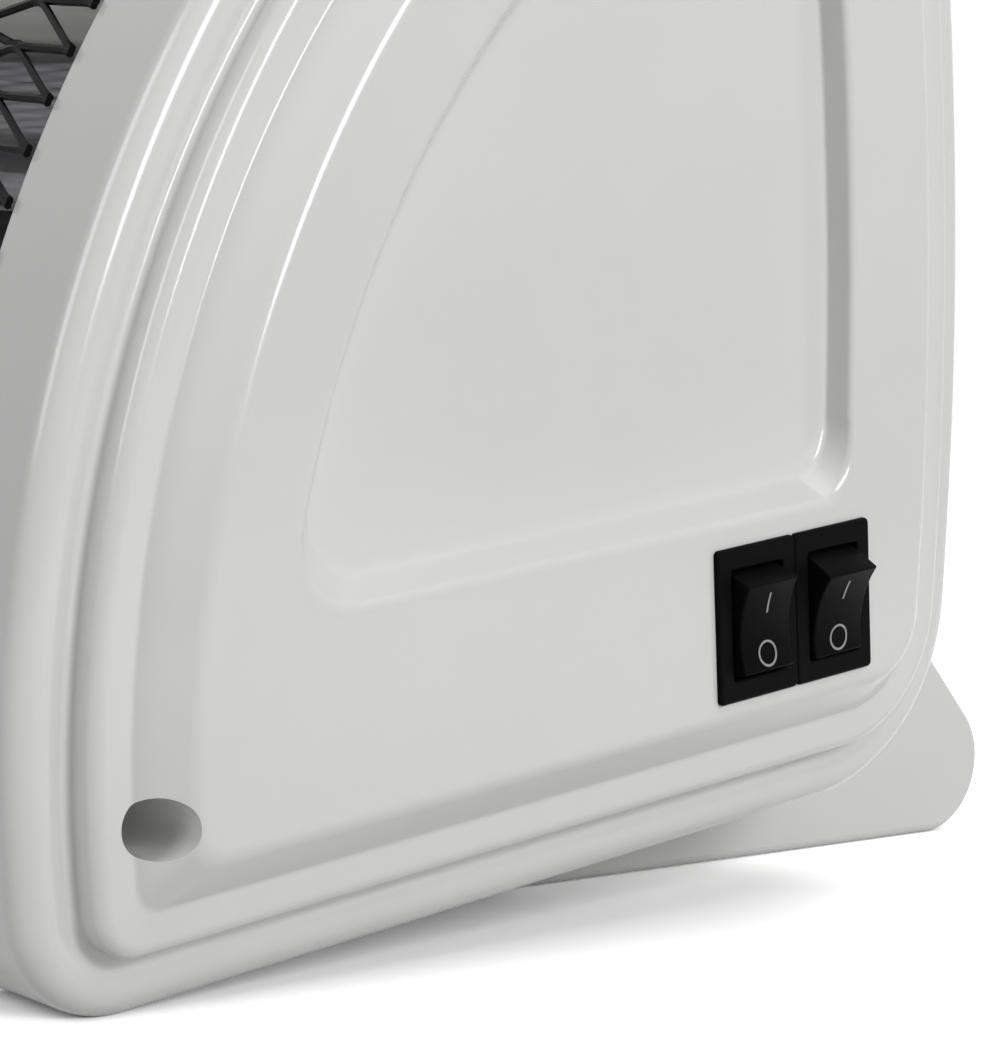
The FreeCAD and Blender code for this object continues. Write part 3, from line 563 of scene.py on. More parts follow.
casing = {"inset": 2.5, "thickness": 0.8, "seamZ": 40.0, "seamGap": 0.3, "hoodDeg": 66.0, "slotWidth": 4.0,
          "seamNear": 0.2, "hoodNear": 0.3, "flatNear": 0.01, "clearance": 0.1,
          "coverBehind": 120.0, "slotsBehind": 155.0, "slotsBelow": 150.0,
          "backSlots": {"length": 58.0, "pitch": 78.0, "columns": 3, "first": 76.0, "step": 10.5, "rows": 7},
          "baseSlots": {"length": 40.0, "pitch": 60.0, "columns": 4, "first": 38.0, "step": 9.0, "rows": 3}}


def loopStretch(begin, end, keep):
    # one stretch of the casing's side outline between two given end points
    loop = outlineLoops(casing["inset"])[0]
    inside = keep(loop)
    first = np.flatnonzero(inside & ~np.roll(inside, 1))[0]
    return np.vstack((begin, np.roll(loop, -first, 0)[:inside.sum()], end))


def slotEdges(slots):
    # both edges of each row of slots and both ends of each column
    half = casing["slotWidth"] / 2
    rows = slots["first"] + slots["step"] * np.arange(slots["rows"])
    columns = (np.arange(slots["columns"]) - (slots["columns"] - 1) / 2) * slots["pitch"]
    ends = slots["length"] / 2
    return np.stack((rows - half, rows + half), 1), np.stack((columns - ends, columns + ends), 1)


def within(values, ranges):  # which values lie inside one of the ranges
    return ((values[:, None] > ranges[:, 0]) & (values[:, None] < ranges[:, 1])).any(1)


def slottedSheet(name, line, way, region, slots):
    # sheet drawn along x from a side line, with the cells of the slots left out; way is the coordinate that
    # the slots step along, and region says which points of the line may carry them
    rowRanges, columnRanges = slotEdges(slots)
    spots = np.arange(len(line), dtype=float)
    held = region(line)
    first, last = np.flatnonzero(held)[[0, -1]]
    values, order = line[first:last + 1, way], spots[first:last + 1]
    if values[0] > values[-1]:
        values, order = values[::-1], order[::-1]
    spots = np.unique(np.r_[spots, np.interp(rowRanges.ravel(), values, order)])
    line = np.stack([np.interp(spots, np.arange(len(line)), line[:, i]) for i in (0, 1)], 1)
    xs = np.unique(np.r_[-body["plateX"], body["plateX"], columnRanges.ravel()])
    points = np.concatenate((np.broadcast_to(xs[None, :, None], (len(line), len(xs), 1)),
                             np.broadcast_to(line[:, None], (len(line), len(xs), 2))), -1)
    middles = (line[1:] + line[:-1]) / 2
    slotRows = within(middles[:, way], rowRanges) & region(middles)
    slotColumns = within((xs[1:] + xs[:-1]) / 2, columnRanges)
    faces = gridFaces(len(line), len(xs))[~(slotRows[:, None] & slotColumns).ravel()]
    sheet = newObject(name, points.reshape(-1, 3), faces)
    thicken(sheet, casing["thickness"])
    return sheet


def rearY(z, inset):  # where the rear arc, moved in, is at a height
    rear = cheek["rearArc"] - inset
    return cheek["depth"] - cheek["rearArc"] + math.sqrt(rear ** 2 - (z - cheek["rearArcZ"]) ** 2)


def frontY(z, inset):  # where the front arc, moved in, is at a height
    front = cheek["frontArc"] - inset
    return cheek["frontArc"] - math.sqrt(front ** 2 - (z - cheek["frontArcZ"]) ** 2)


plunger = {"x": -72.0, "y": 106.0, "hole": 4.6, "holeReach": 20.0}
bushing = {"fromRim": 37.5, "z": 58.0, "bore": 3.5, "neck": 5.5, "flange": 8.0, "flangeThickness": 2.5,
           "length": 14.0, "gap": 0.1, "holeReach": 20.0, "boreRun": 4.0, "edges": (0.4, 0.1, 0.2, 1.1, 0.8)}


def makeCasing():
    # base pan below the seam and back cover above it, each a sheet along its stretch of the outline
    seamZ, inset = casing["seamZ"], casing["inset"]
    upward = uprightToBody((0, 0, 1))
    below = lambda p: p[:, 1] < seamZ - casing["seamNear"]
    level = lambda p: p[:, 1] < inset + casing["flatNear"]
    line = loopStretch((rearY(seamZ, inset), seamZ), (frontY(seamZ, inset), seamZ), below)
    base = slottedSheet("base_pan_sheet", line, 0, level, casing["baseSlots"])
    start = uprightToBody((plunger["x"], plunger["y"], 0))
    carve(base, [rodAlong("way", start, upward, plunger["hole"], plunger["holeReach"])])
    finishPiece(base, "white_enamel", ["base_pan"])
    topZ = seamZ + casing["seamGap"]
    hood = atFront(casing["hoodDeg"], cheek["frontArc"] - inset, 0)
    above = lambda p: p[:, 1] > topZ + casing["seamNear"]
    behind = lambda p: (p[:, 0] > hood[1] + casing["hoodNear"]) & (p[:, 1] > hood[2])
    rear = lambda p: p[:, 0] > casing["coverBehind"]
    slotted = lambda p: (p[:, 0] > casing["slotsBehind"]) & (p[:, 1] < casing["slotsBelow"])
    line = loopStretch(hood[1:], (rearY(topZ, inset), topZ), lambda p: above(p) & (behind(p) | rear(p)))
    cover = slottedSheet("back_cover_sheet", line, 1, slotted, casing["backSlots"])
    start = (rimX - bushing["fromRim"], cheek["depth"] - bushing["holeReach"], bushing["z"])
    carve(cover, [rodAlong("neck", start, (0, 1, 0), bushing["neck"] + bushing["gap"], cut["length"])])
    finishPiece(cover, "white_enamel", ["back_cover"])


makeCasing()
print("casing made")

# Guard: expanded steel net, cut along its knots, with a folded strip at its lower and upper edge

guard = {"proud": 1.2, "lapMm": 5.0, "halfWidth": 141.4, "seat": 159.6, "border": 3.5, "stripThickness": 1.0,
         "fold": 0.6, "cellAcross": 23.57, "cellAlong": 6.7, "strand": 1.1, "strandDepth": 1.05,
         "flatShare": 1.3, "knotShare": 0.62, "sinkShare": 0.56, "crownShare": 0.55, "edgeSkew": -3.9,
         "twistDeg": 24.0, "twistRate": 3.0, "steps": 10, "sides": 6}


def guardAngles():
    # the guard laps over the lip of the base pan and over the hood
    rise, radius = casing["seamZ"] - cheek["frontArcZ"], cheek["frontArc"] - casing["inset"]
    lip = math.degrees(math.asin(rise / radius))
    lap = math.degrees(guard["lapMm"] / cheek["frontArc"])
    return lip - lap, casing["hoodDeg"] + lap


def netStrands():
    # each strand is a wave across x between two levels along the arc: a triangle wave with its peaks cut
    # flat, against the wave of both neighbours, so that strands meet in knots; its oval section is twisted
    # one way on the rise and the other on the fall; the outermost half cells lean down to the cut edges
    low, high = guardAngles()
    outer = cheek["frontArc"] + guard["proud"]
    edge = math.degrees(guard["border"] / outer)
    length = math.radians(high - low - 2 * edge) * outer
    count = int(round(2 * length / guard["cellAlong"]))
    level = length / count
    halves = int(round(4 * guard["halfWidth"] / guard["cellAcross"]))
    phase = np.linspace(0, halves, halves * guard["steps"] + 1)
    wave = 1 - 2 * np.abs((phase % 2) - 1)
    wave = np.clip(wave * guard["flatShare"], -1, 1)
    strand = np.arange(count)
    signs = np.where(strand % 2, 1, -1)[:, None]
    swing = (level - guard["strand"] * guard["knotShare"]) / 2
    droop = guard["edgeSkew"] * np.clip(np.maximum(1 - phase, phase - halves + 1), 0, 1)
    along = np.clip((strand[:, None] + 0.5) * level + signs * wave * swing + droop, 0, length)
    xs = np.linspace(-guard["halfWidth"], guard["halfWidth"], len(phase))
    slope = np.gradient(along, xs, axis=1)
    lengthen = np.hypot(1, slope)
    radius = outer - guard["strandDepth"] * guard["sinkShare"]
    turn = np.linspace(0, 2 * math.pi, guard["sides"], endpoint=False) + math.pi / 6
    twist = math.radians(guard["twistDeg"]) * np.tanh(guard["twistRate"] * slope)[..., None]
    wide, deep = guard["strand"] / 2 * np.cos(turn), guard["strandDepth"] / 2 * np.sin(turn)
    side = wide * np.cos(twist) - deep * np.sin(twist)
    crown = guard["strandDepth"] * guard["crownShare"]
    depth = np.clip(wide * np.sin(twist) + deep * np.cos(twist), None, crown)
    x = xs[None, :, None] - side * (slope / lengthen)[..., None]
    x = np.clip(x, -guard["halfWidth"], guard["halfWidth"])
    arcPlace = along[..., None] + side / lengthen[..., None]
    angle = low + edge + np.degrees(arcPlace / outer)
    points = atFront(angle, radius + depth, x)
    rows, columns, sides = points.shape[:3]
    starts = np.arange(rows) * columns * sides
    walls = gridFaces(columns, sides, closeColumns=True)[None] + starts[:, None, None]
    firsts = np.arange(sides)[None] + starts[:, None]
    caps = firsts.tolist() + (firsts[:, ::-1] + (columns - 1) * sides).tolist()
    return points.reshape(-1, 3), walls.reshape(-1, 4).tolist() + caps


def sectionAlongX(section, xs):
    # a closed side section of (y, z) drawn along x, closed at both ends by strips between its two faces
    ring = np.asarray(section, float)
    points = np.concatenate((np.broadcast_to(np.asarray(xs, float)[:, None, None], (len(xs), len(ring), 1)),
                             np.broadcast_to(ring[None], (len(xs), len(ring), 2))), -1).reshape(-1, 3)
    count = len(ring)
    half = count // 2
    i = np.arange(half - 1)
    strip = np.stack((i, i + 1, count - 2 - i, count - 1 - i), 1)
    farStrip = strip[:, ::-1] + (len(xs) - 1) * count
    faces = np.vstack((gridFaces(len(xs), count, closeColumns=True), strip, farStrip))
    return points, faces


def sheetSection(line, thickness, flip=1):
    # a side line and its copy one thickness away along its normals, as one closed section
    way = np.gradient(line, axis=0)
    way /= np.linalg.norm(way, axis=1, keepdims=True)
    return np.vstack((line, (line + flip * thickness * np.stack((-way[:, 1], way[:, 0]), 1))[::-1]))


def guardStrip(begin, end):
    # side line from the casing's surface out to the net, folded there, and on along the net's edge
    root = atFront(begin, guard["seat"], 0)[1:]
    first, last = atFront(np.array((begin, end)), cheek["frontArc"] + guard["proud"], 0)[:, 1:]
    line = roundedLine((root, first, last), (guard["fold"],), steps=5)
    inward = np.array((cheek["frontArc"], cheek["frontArcZ"]))
    flip = 1 if np.cross(line[-1] - line[-2], inward - line[-1]) > 0 else -1
    section = sheetSection(line, guard["stripThickness"], flip)
    return sectionAlongX(section, (-guard["halfWidth"], guard["halfWidth"]))


def makeGuard():  # the net and both strips as one piece
    low, high = guardAngles()
    edge = math.degrees(guard["border"] / cheek["frontArc"])
    lumps = [netStrands(), guardStrip(low, low + edge), guardStrip(high, high - edge)]
    net = newObject("front_guard_net", *gathered(lumps))
    finishPiece(net, "black_coated_steel", ["front_guard"], sharpDeg=50.0)


makeGuard()
print("guard made")

# Heating tubes and the reflector behind them

heat = {"inset": 42.0, "anglesDeg": (22.0, 50.0), "tube": 5.5, "wall": 1.1, "gap": 0.1,
        "coilGap": 0.5, "wire": 0.8, "pitch": 1.7, "turnSteps": 14, "wireSides": 5,
        "cap": 9.0, "capLength": 18.0, "capInside": 9.0, "capBore": 7.0, "capEdges": (0.8, 0.8, 0.2, 0.2),
        "stud": 2.0, "trough": 26.03, "troughDeg": 80.0, "troughSteps": 40, "sheet": 0.6, "wingInset": 6.0,
        "wingDeg": 2.0, "plate": 1.0}


def tubeCentres(x):  # both tubes lie on a circle inside the front arc
    return atFront(np.array(heat["anglesDeg"]), cheek["frontArc"] - heat["inset"], x)


def reflectorLine():
    # lower wing, an arc of the trough angle about each tube, upper wing
    lip = guardAngles()[0] + math.degrees(guard["lapMm"] / cheek["frontArc"])
    wing = cheek["frontArc"] - heat["wingInset"]
    parts = [atFront(lip + heat["wingDeg"], wing, 0)[None, 1:]]
    for angle, centre in zip(heat["anglesDeg"], tubeCentres(0)):
        turn = np.radians(np.linspace(-heat["troughDeg"], heat["troughDeg"], heat["troughSteps"]) - angle)
        parts.append(centre[1:] + heat["trough"] * np.stack((np.cos(turn), np.sin(turn)), 1))
    parts.append(atFront(casing["hoodDeg"] - heat["wingDeg"], wing, 0)[None, 1:])
    return np.vstack(parts)


def coilPoints(centre, halfLength):
    # a helix about the tube's axis, with a ring of the wire's section at each step
    radius = heat["tube"] - heat["wall"] - heat["coilGap"] - heat["wire"] / 2
    turns = 2 * halfLength / heat["pitch"]
    t = np.linspace(0, 2 * math.pi * turns, int(turns * heat["turnSteps"]))[:, None]
    wire = np.linspace(0, 2 * math.pi, heat["wireSides"], endpoint=False)[None]
    reach = radius + heat["wire"] / 2 * np.cos(wire)
    x = -halfLength + t / (2 * math.pi) * heat["pitch"] + heat["wire"] / 2 * np.sin(wire)
    points = np.stack((x, centre[1] + reach * np.cos(t), centre[2] + reach * np.sin(t)), -1)
    return points.reshape(-1, 3), capped(*points.shape[:2])


def makeHeat():
    # thick-walled tubes turned about x with their coils inside, caps over the ends, and the reflector
    halfLength = body["plateX"] - heat["capInside"] + heat["capBore"] - heat["gap"]
    for level, centre in zip(("lower", "upper"), tubeCentres(0)):
        start = centre - np.array((halfLength, 0, 0))
        outer, inner = heat["tube"], heat["tube"] - heat["wall"]
        profile = ((0, inner), (0, outer), (halfLength, outer), (2 * halfLength, outer),
                   (2 * halfLength, inner), (halfLength, inner))
        tube = newObject(level + "_tube_glass", *turned(profile, start, (1, 0, 0), sides=56))
        finishPiece(tube, "quartz", [level + "_quartz_tube"])
        coil = newObject(level + "_coil_wire", *coilPoints(centre, halfLength))
        finishPiece(coil, "resistance_wire", [level + "_heating_coil"], sharpDeg=80.0)
    lumps = []
    bore = heat["tube"] + heat["gap"]
    profile = roundedLine(((0, bore), (0, heat["cap"]), (heat["capLength"], heat["cap"]),
                           (heat["capLength"], heat["stud"]), (heat["capBore"], heat["stud"]),
                           (heat["capBore"], bore)), heat["capEdges"], steps=4)
    for side in (-1, 1):
        for centre in tubeCentres(side * (body["plateX"] - heat["capInside"])):
            lumps.append(turned(profile, centre, (side, 0, 0), sides=48))
    finishPiece(newObject("steatite_caps", *gathered(lumps)), "ceramic", ["tube_end_caps"])
    halfLength = body["plateX"] - heat["plate"] - heat["gap"]
    section = sheetSection(reflectorLine(), heat["sheet"], -1)
    sheet = newObject("reflector_sheet", *sectionAlongX(section, (-halfLength, halfLength)))
    # the reflector's dark finish is painted shade of the hollow inside the heater
    finishPiece(sheet, "bright_aluminium", ["reflector"])


makeHeat()
print("tubes and reflector made")

# Rocker switches


def rectangleLoop(halfY, halfZ, radius, steps=6):
    # rounded rectangles, one row each: quarter arcs about four corner centres
    turn = np.linspace(0, math.pi / 2, steps)
    signs = np.array(((1, 1), (-1, 1), (-1, -1), (1, -1)))
    angles = (turn[None] + np.arange(4)[:, None] * math.pi / 2).ravel()
    centre = np.repeat(signs, steps, 0)
    y = centre[:, 0] * (halfY - radius)[:, None] + radius[:, None] * np.cos(angles)
    z = centre[:, 1] * (halfZ - radius)[:, None] + radius[:, None] * np.sin(angles)
    return y, z


def makeFrame(name, place):
    # section from the floor of the well up its wall, over the face and down the outside; its first value runs
    # from the opening's edge to the bezel's edge, which are stretched to their own widths and heights
    faceX, seatX = (body["panelX"] + switch[key] for key in ("proud", "seat"))
    backX = body["panelX"] - switch["bodyDepth"]
    floorX = backX + switch["floor"]
    growY, growZ = ((b - o) / 2 for b, o in zip(switch["bezel"], switch["opening"]))
    bodyShare = (switch["body"][0] - switch["opening"][0]) / 2 / growY
    bodyEdge = growZ * bodyShare
    line = roundedLine(((-switch["floorRun"], floorX), (0, floorX), (0, faceX), (growZ, faceX),
                        (growZ, seatX), (bodyEdge, seatX), (bodyEdge, backX),
                        (bodyEdge - switch["backRun"], backX)), switch["edges"], steps=4, near=0.06)
    share = line[:, 0] / growZ
    corner = switch["corner"] + switch["cornerGrowth"] * np.clip(share, 0, 1)
    openY, openZ = (size / 2 for size in switch["opening"])
    y, z = rectangleLoop(openY + growY * share, openZ + growZ * share, corner)
    points = np.stack((np.broadcast_to(line[:, 1:], y.shape), place + y, switch["z"] + z), -1)
    item = newObject(name + "_switch_bezel", points.reshape(-1, 3), capped(*y.shape))
    finishPiece(item, "black_plastic", [name + "_switch_frame"])


paddle = {"gap": 0.3, "fullDeg": 15.0, "restDeg": {"front": 5.0, "rear": 15.0}, "crestOut": 5.1,
          "hollow": 1.3, "under": 3.0, "edge": 0.3, "edgeDeg": 35.0, "topSteps": 41, "endSteps": 12,
          "line": (2.9, 0.3, 3.1), "lineSteps": 9, "ring": (1.75, 0.3, -3.9), "ringSteps": 48,
          "paint": 0.04, "film": 0.032}
paddleRadius = switch["opening"][1] / 2 - paddle["gap"]
paddleSlope = math.radians(paddle["fullDeg"])
crestUp = paddleRadius / math.cos(paddleSlope) - paddle["crestOut"] * math.tan(paddleSlope)
hollowRadius = (crestUp ** 2 + paddle["hollow"] ** 2) / (2 * paddle["hollow"])


def hollowTop(w):  # height of the hollowed top at a distance from its middle: an arc through both crests
    return paddle["crestOut"] - paddle["hollow"] + hollowRadius - np.sqrt(hollowRadius ** 2 - w ** 2)


def tilted(points, place, tiltDeg):
    # (out, across, up) from the pin, tipped about the pin's axis
    turn = math.radians(tiltDeg)
    out, across, up = np.moveaxis(np.asarray(points, float), -1, 0)
    return np.stack((body["pin"][0] + out * math.cos(turn) + up * math.sin(turn), place + across,
                     switch["z"] + up * math.cos(turn) - out * math.sin(turn)), -1)


def paddleLoop():
    # hollow top, straight slope down to the upper end, which is round about the pin, flat underside, and the
    # same again at the lower end
    low = -math.asin(paddle["under"] / paddleRadius)
    w = np.linspace(-crestUp, crestUp, paddle["topSteps"])
    end = np.linspace(paddleSlope, low, paddle["endSteps"])
    upper = paddleRadius * np.stack((np.sin(end), np.cos(end)), 1)
    lower = (upper * (1, -1))[::-1]
    return np.vstack((np.stack((hollowTop(w), w), 1), upper, lower))


def makeRocker(name, place, tiltDeg):
    # the side loop drawn across the opening, tipped, with its edges rounded
    out, up = paddleLoop().T
    half = switch["opening"][0] / 2 - paddle["gap"]
    points = np.stack(np.broadcast_arrays(out, np.array(((-half,), (half,))), up), -1)
    points = tilted(points, place, tiltDeg).reshape(-1, 3)
    item = newObject(name + "_rocker_paddle", points, capped(2, len(out)))
    soften = item.modifiers.new("edge", "BEVEL")
    soften.width = paddle["edge"] * mm
    soften.segments = 3
    soften.limit_method = "ANGLE"
    soften.angle_limit = math.radians(paddle["edgeDeg"])
    settle(item)
    finishPiece(item, "black_rocker", [name + "_rocker"], name + "_rocker", sharpDeg=40.0)


def makeMarks(name, place, tiltDeg):
    # printed marks: a short line above and a ring below, laid on the hollow top
    length, stroke, up = paddle["line"]
    along = np.linspace(-length / 2, length / 2, paddle["lineSteps"]) + up
    w, v = np.meshgrid(along, np.array((-stroke, stroke)) / 2, indexing="ij")
    bar = np.stack((hollowTop(w) + paddle["paint"], v, w), -1)
    radius, stroke, up = paddle["ring"]
    about = np.linspace(0, 2 * math.pi, paddle["ringSteps"], endpoint=False)
    turn, reach = np.meshgrid(about, (radius - stroke, radius), indexing="ij")
    w, v = up + reach * np.sin(turn), reach * np.cos(turn)
    ring = np.stack((hollowTop(w) + paddle["paint"], v, w), -1)
    barFaces = gridFaces(paddle["lineSteps"], 2)
    ringFaces = gridFaces(paddle["ringSteps"], 2, closeRows=True)[:, ::-1]
    lumps = [(tilted(points, place, tiltDeg).reshape(-1, 3), faces)
             for points, faces in ((bar, barFaces), (ring, ringFaces))]
    marks = newObject(name + "_rocker_marks", *gathered(lumps))
    thicken(marks, paddle["film"], offset=0.0)
    finishPiece(marks, "black_rocker", [], name + "_rocker", finish=markFinish)


for switchName, step in (("front", -0.5), ("rear", 0.5)):
    switchY = switch["y"] + step * switch["bezel"][0]
    makeFrame(switchName, switchY)
    makeRocker(switchName, switchY, paddle["restDeg"][switchName])
    makeMarks(switchName, switchY, paddle["restDeg"][switchName])
print("switches made")

# Rear feet and carry handle, moulded like the cheeks and cut to the casing

foot = {"outerX": 129.5, "width": 24.0, "front": 100.0, "reach": 208.0, "nose": 11.0, "slopeDeg": 45.0,
        "slopeLength": 62.0, "toe": 5.0, "edge": 1.4, "sideRun": 2.2, "noseSteps": 24, "toeSteps": 14,
        "step": 4.0}
handle = {"y": 130.0, "depth": 18.0, "halfWidth": 68.0, "taper": 9.0, "baseZ": 158.0, "riseZ": 217.0,
          "bar": 10.0, "leg": 14.0, "corner": 14.0, "innerCorner": 9.0, "squareness": 4.5, "sides": 40,
          "finer": 4}


def casingSolid():  # the casing as one block, to cut what stands against it
    loop = outlineLoops(casing["inset"] - casing["clearance"])[0]
    points = np.vstack([np.c_[np.full(len(loop), x), loop] for x in (-body["plateX"], body["plateX"])])
    return newObject("casing", points, capped(2, len(loop)))


def footLoop():
    # upright side line: sole, round nose, sloping strut, top, front and round toe
    floorZ, nose, toe = body["floorZ"], foot["nose"], foot["toe"]
    slope = math.radians(foot["slopeDeg"])
    noseY, noseZ = foot["reach"] - nose, floorZ + nose
    turn = np.linspace(-math.pi / 2, math.pi / 2 - slope, foot["noseSteps"])
    arc = np.stack((noseY + nose * np.cos(turn), noseZ + nose * np.sin(turn)), 1)
    top = arc[-1] + foot["slopeLength"] * np.array((-math.cos(slope), math.sin(slope)))
    turn = np.linspace(math.pi, 1.5 * math.pi, foot["toeSteps"])
    toeArc = np.stack((foot["front"] + toe + toe * np.cos(turn), floorZ + toe + toe * np.sin(turn)), 1)
    return spanned(np.vstack((toeArc, arc, top, (foot["front"], top[1]), toeArc[:1])), foot["step"])[:-1]


def makeFoot(name, side):
    # the side line drawn across, pulled in along its normals where the edges are round
    loop = footLoop()
    way = np.roll(loop, -1, 0) - np.roll(loop, 1, 0)
    way /= np.linalg.norm(way, axis=1, keepdims=True)
    outward = np.stack((way[:, 1], -way[:, 0]), 1)
    outerX, innerX = foot["outerX"], foot["outerX"] - foot["width"]
    line = roundedLine(((foot["sideRun"], outerX), (0, outerX), (0, innerX), (foot["sideRun"], innerX)),
                       (foot["edge"], foot["edge"]), steps=5, near=0.1)
    ring = loop[None] - outward[None] * line[:, None, :1]
    points = np.concatenate((np.broadcast_to(side * line[:, None, 1:], (*ring.shape[:2], 1)), ring), -1)
    item = newObject(name + "_moulding", uprightToBody(points.reshape(-1, 3)), capped(*ring.shape[:2]))
    carve(item, [casingSolid()])
    finishPiece(item, "white_plastic", [name])


def handleArch(halfWidth, rise, radius):
    # line of (x, z) up one leg, along the bar and down the other leg
    low, high = handle["baseZ"], halfWidth - handle["taper"]
    corners = ((-halfWidth, low), (-high, rise), (high, rise), (halfWidth, low))
    line = roundedLine(corners, (radius, radius), steps=12, near=0.5)
    spots = np.linspace(0, len(line) - 1, handle["finer"] * len(line))
    return np.stack([np.interp(spots, np.arange(len(line)), line[:, i]) for i in (0, 1)], 1)


def makeHandle():
    # arch between an outer and an inner line; each section is a rounded box between their points
    outer = handleArch(handle["halfWidth"], handle["riseZ"], handle["corner"])
    inner = handleArch(handle["halfWidth"] - handle["leg"], handle["riseZ"] - handle["bar"],
                       handle["innerCorner"])
    turn = np.linspace(0, 2 * math.pi, handle["sides"], endpoint=False)
    power = 2 / handle["squareness"]
    a = np.sign(np.cos(turn)) * np.abs(np.cos(turn)) ** power
    b = np.sign(np.sin(turn)) * np.abs(np.sin(turn)) ** power
    middle, reach = (outer + inner) / 2, (outer - inner) / 2
    flat = middle[:, None] + reach[:, None] * a[None, :, None]
    back = np.broadcast_to(handle["y"] + b * handle["depth"] / 2, flat.shape[:2])
    points = np.stack((flat[..., 0], back, flat[..., 1]), -1)
    item = newObject("carry_handle_moulding", points.reshape(-1, 3), capped(*flat.shape[:2]))
    carve(item, [casingSolid()])
    finishPiece(item, "white_plastic", ["carry_handle"], sharpDeg=45.0)


makeFoot("right_foot", 1)
makeFoot("left_foot", -1)
makeHandle()
print("feet and handle made")

# Cord inlet and screws

screw = {"cheek": {"head": 3.3, "height": 2.4, "shank": 1.75, "length": 9.0},
         "cover": {"head": 3.0, "height": 1.8, "shank": 1.5, "length": 6.0},
         "coverZ": (56.0, 112.0, 150.0), "coverFromRim": 5.0, "crossWide": 0.45, "crossLong": 1.7,
         "crossDeep": 1.0, "crossEdge": 0.18, "middle": 0.12, "rimShare": 0.94, "domeShare": 0.42,
         "domePower": 2.4, "skirtShare": 0.45, "sides": 48, "rings": 15}


def crossHead(seat, outward, head, height, shank, length):
    # domed head with a cross pressed into it, on a plain shank: rings from the middle out, then down
    outward = np.array(outward, float) / np.linalg.norm(outward)
    aside = np.cross(outward, (0, 0.6, 0.8) if abs(outward[0]) > 0.5 else (1, 0, 0))
    aside /= np.linalg.norm(aside)
    third = np.cross(outward, aside)
    turn = np.linspace(0, 2 * math.pi, screw["sides"], endpoint=False)[None]
    reach = np.linspace(screw["middle"], head * screw["rimShare"], screw["rings"])[:, None]
    p, q = np.abs(reach * np.cos(turn)), np.abs(reach * np.sin(turn))
    edge = lambda value, limit: np.clip((limit - value) / screw["crossEdge"] + 0.5, 0, 1)
    cross = np.maximum(edge(p, screw["crossWide"]) * edge(q, screw["crossLong"]),
                       edge(q, screw["crossWide"]) * edge(p, screw["crossLong"]))
    dome = height * (1 - screw["domeShare"] * (reach / head) ** screw["domePower"])
    dome = dome - screw["crossDeep"] * cross
    below = np.ones((4, screw["sides"]))
    radii = np.vstack((np.broadcast_to(reach, dome.shape), below * np.c_[[head, head, shank, shank]]))
    tall = np.vstack((dome, below * np.c_[[height * screw["skirtShare"], 0, 0, -length]]))
    ring = np.cos(turn)[..., None] * aside + np.sin(turn)[..., None] * third
    points = np.asarray(seat) + radii[..., None] * ring + tall[..., None] * outward
    return points.reshape(-1, 3), capped(*radii.shape)


def makeSmallParts():
    # a collar turned about the cord's axis, and the screws of the cheeks and of the back cover
    bore, neck, flange, length = (bushing[key] for key in ("bore", "neck", "flange", "length"))
    shoulder = length - bushing["flangeThickness"]
    line = roundedLine(((0, bore), (0, neck), (shoulder, neck), (shoulder, flange), (length, flange),
                        (length, bore), (length - bushing["boreRun"], bore)), bushing["edges"], steps=5)
    seat = rearY(bushing["z"] + flange, casing["inset"]) + bushing["gap"] - shoulder
    start = (rimX - bushing["fromRim"], seat, bushing["z"])
    collar = newObject("cord_inlet_collar", *turned(line, start, (0, 1, 0), sides=64))
    finishPiece(collar, "black_rubber", ["cord_bushing"])
    heads = {"cheek": [], "cover": []}
    for side in (-1, 1):
        x = side * (body["plateX"] + cheek["postFloor"])
        for spot in atFront(np.array(cheek["postAngles"]), cheek["frontArc"] - cheek["postInset"], x):
            heads["cheek"].append(crossHead(spot, (side, 0, 0), **screw["cheek"]))
        x = side * (rimX - screw["coverFromRim"])
        for z in screw["coverZ"]:
            y = rearY(z, casing["inset"])
            outward = (0, y - cheek["depth"] + cheek["rearArc"], z - cheek["rearArcZ"])
            heads["cover"].append(crossHead((x, y, z), outward, **screw["cover"]))
    for kind, lumps in heads.items():
        item = newObject(kind + "_screw_set", *gathered(lumps))
        finishPiece(item, "zinc_steel", [kind + "_screws"], sharpDeg=40.0, finish=screwFinish)


makeSmallParts()
print("inlet and screws made")

# Remaining CAD nodes

nodeSlots = {"right_end_plate": "zinc_steel", "left_end_plate": "zinc_steel", "tube_studs": "brass",
             "switch_blades": "brass", "terminal_block": "natural_plastic",
             "tip_switch_housing": "natural_plastic", "tip_switch_plunger": "black_plastic",
             "tip_switch_spring": "resistance_wire"}
for nodeName, slotName in nodeSlots.items():
    node = frame["nodes"][nodeName]
    node.data.materials.clear()
    node.data.materials.append(finishes[slotName])

# Camera, from the photograph

shot = {"focalPx": 3321.0, "heightPx": 1044.0, "sensorMm": 36.0, "nearest": 0.02,
        "yawDeg": 42.0, "pitchDeg": 10.8, "rollDeg": -2.4, "eye": (470.0, -202.9, 129.4)}


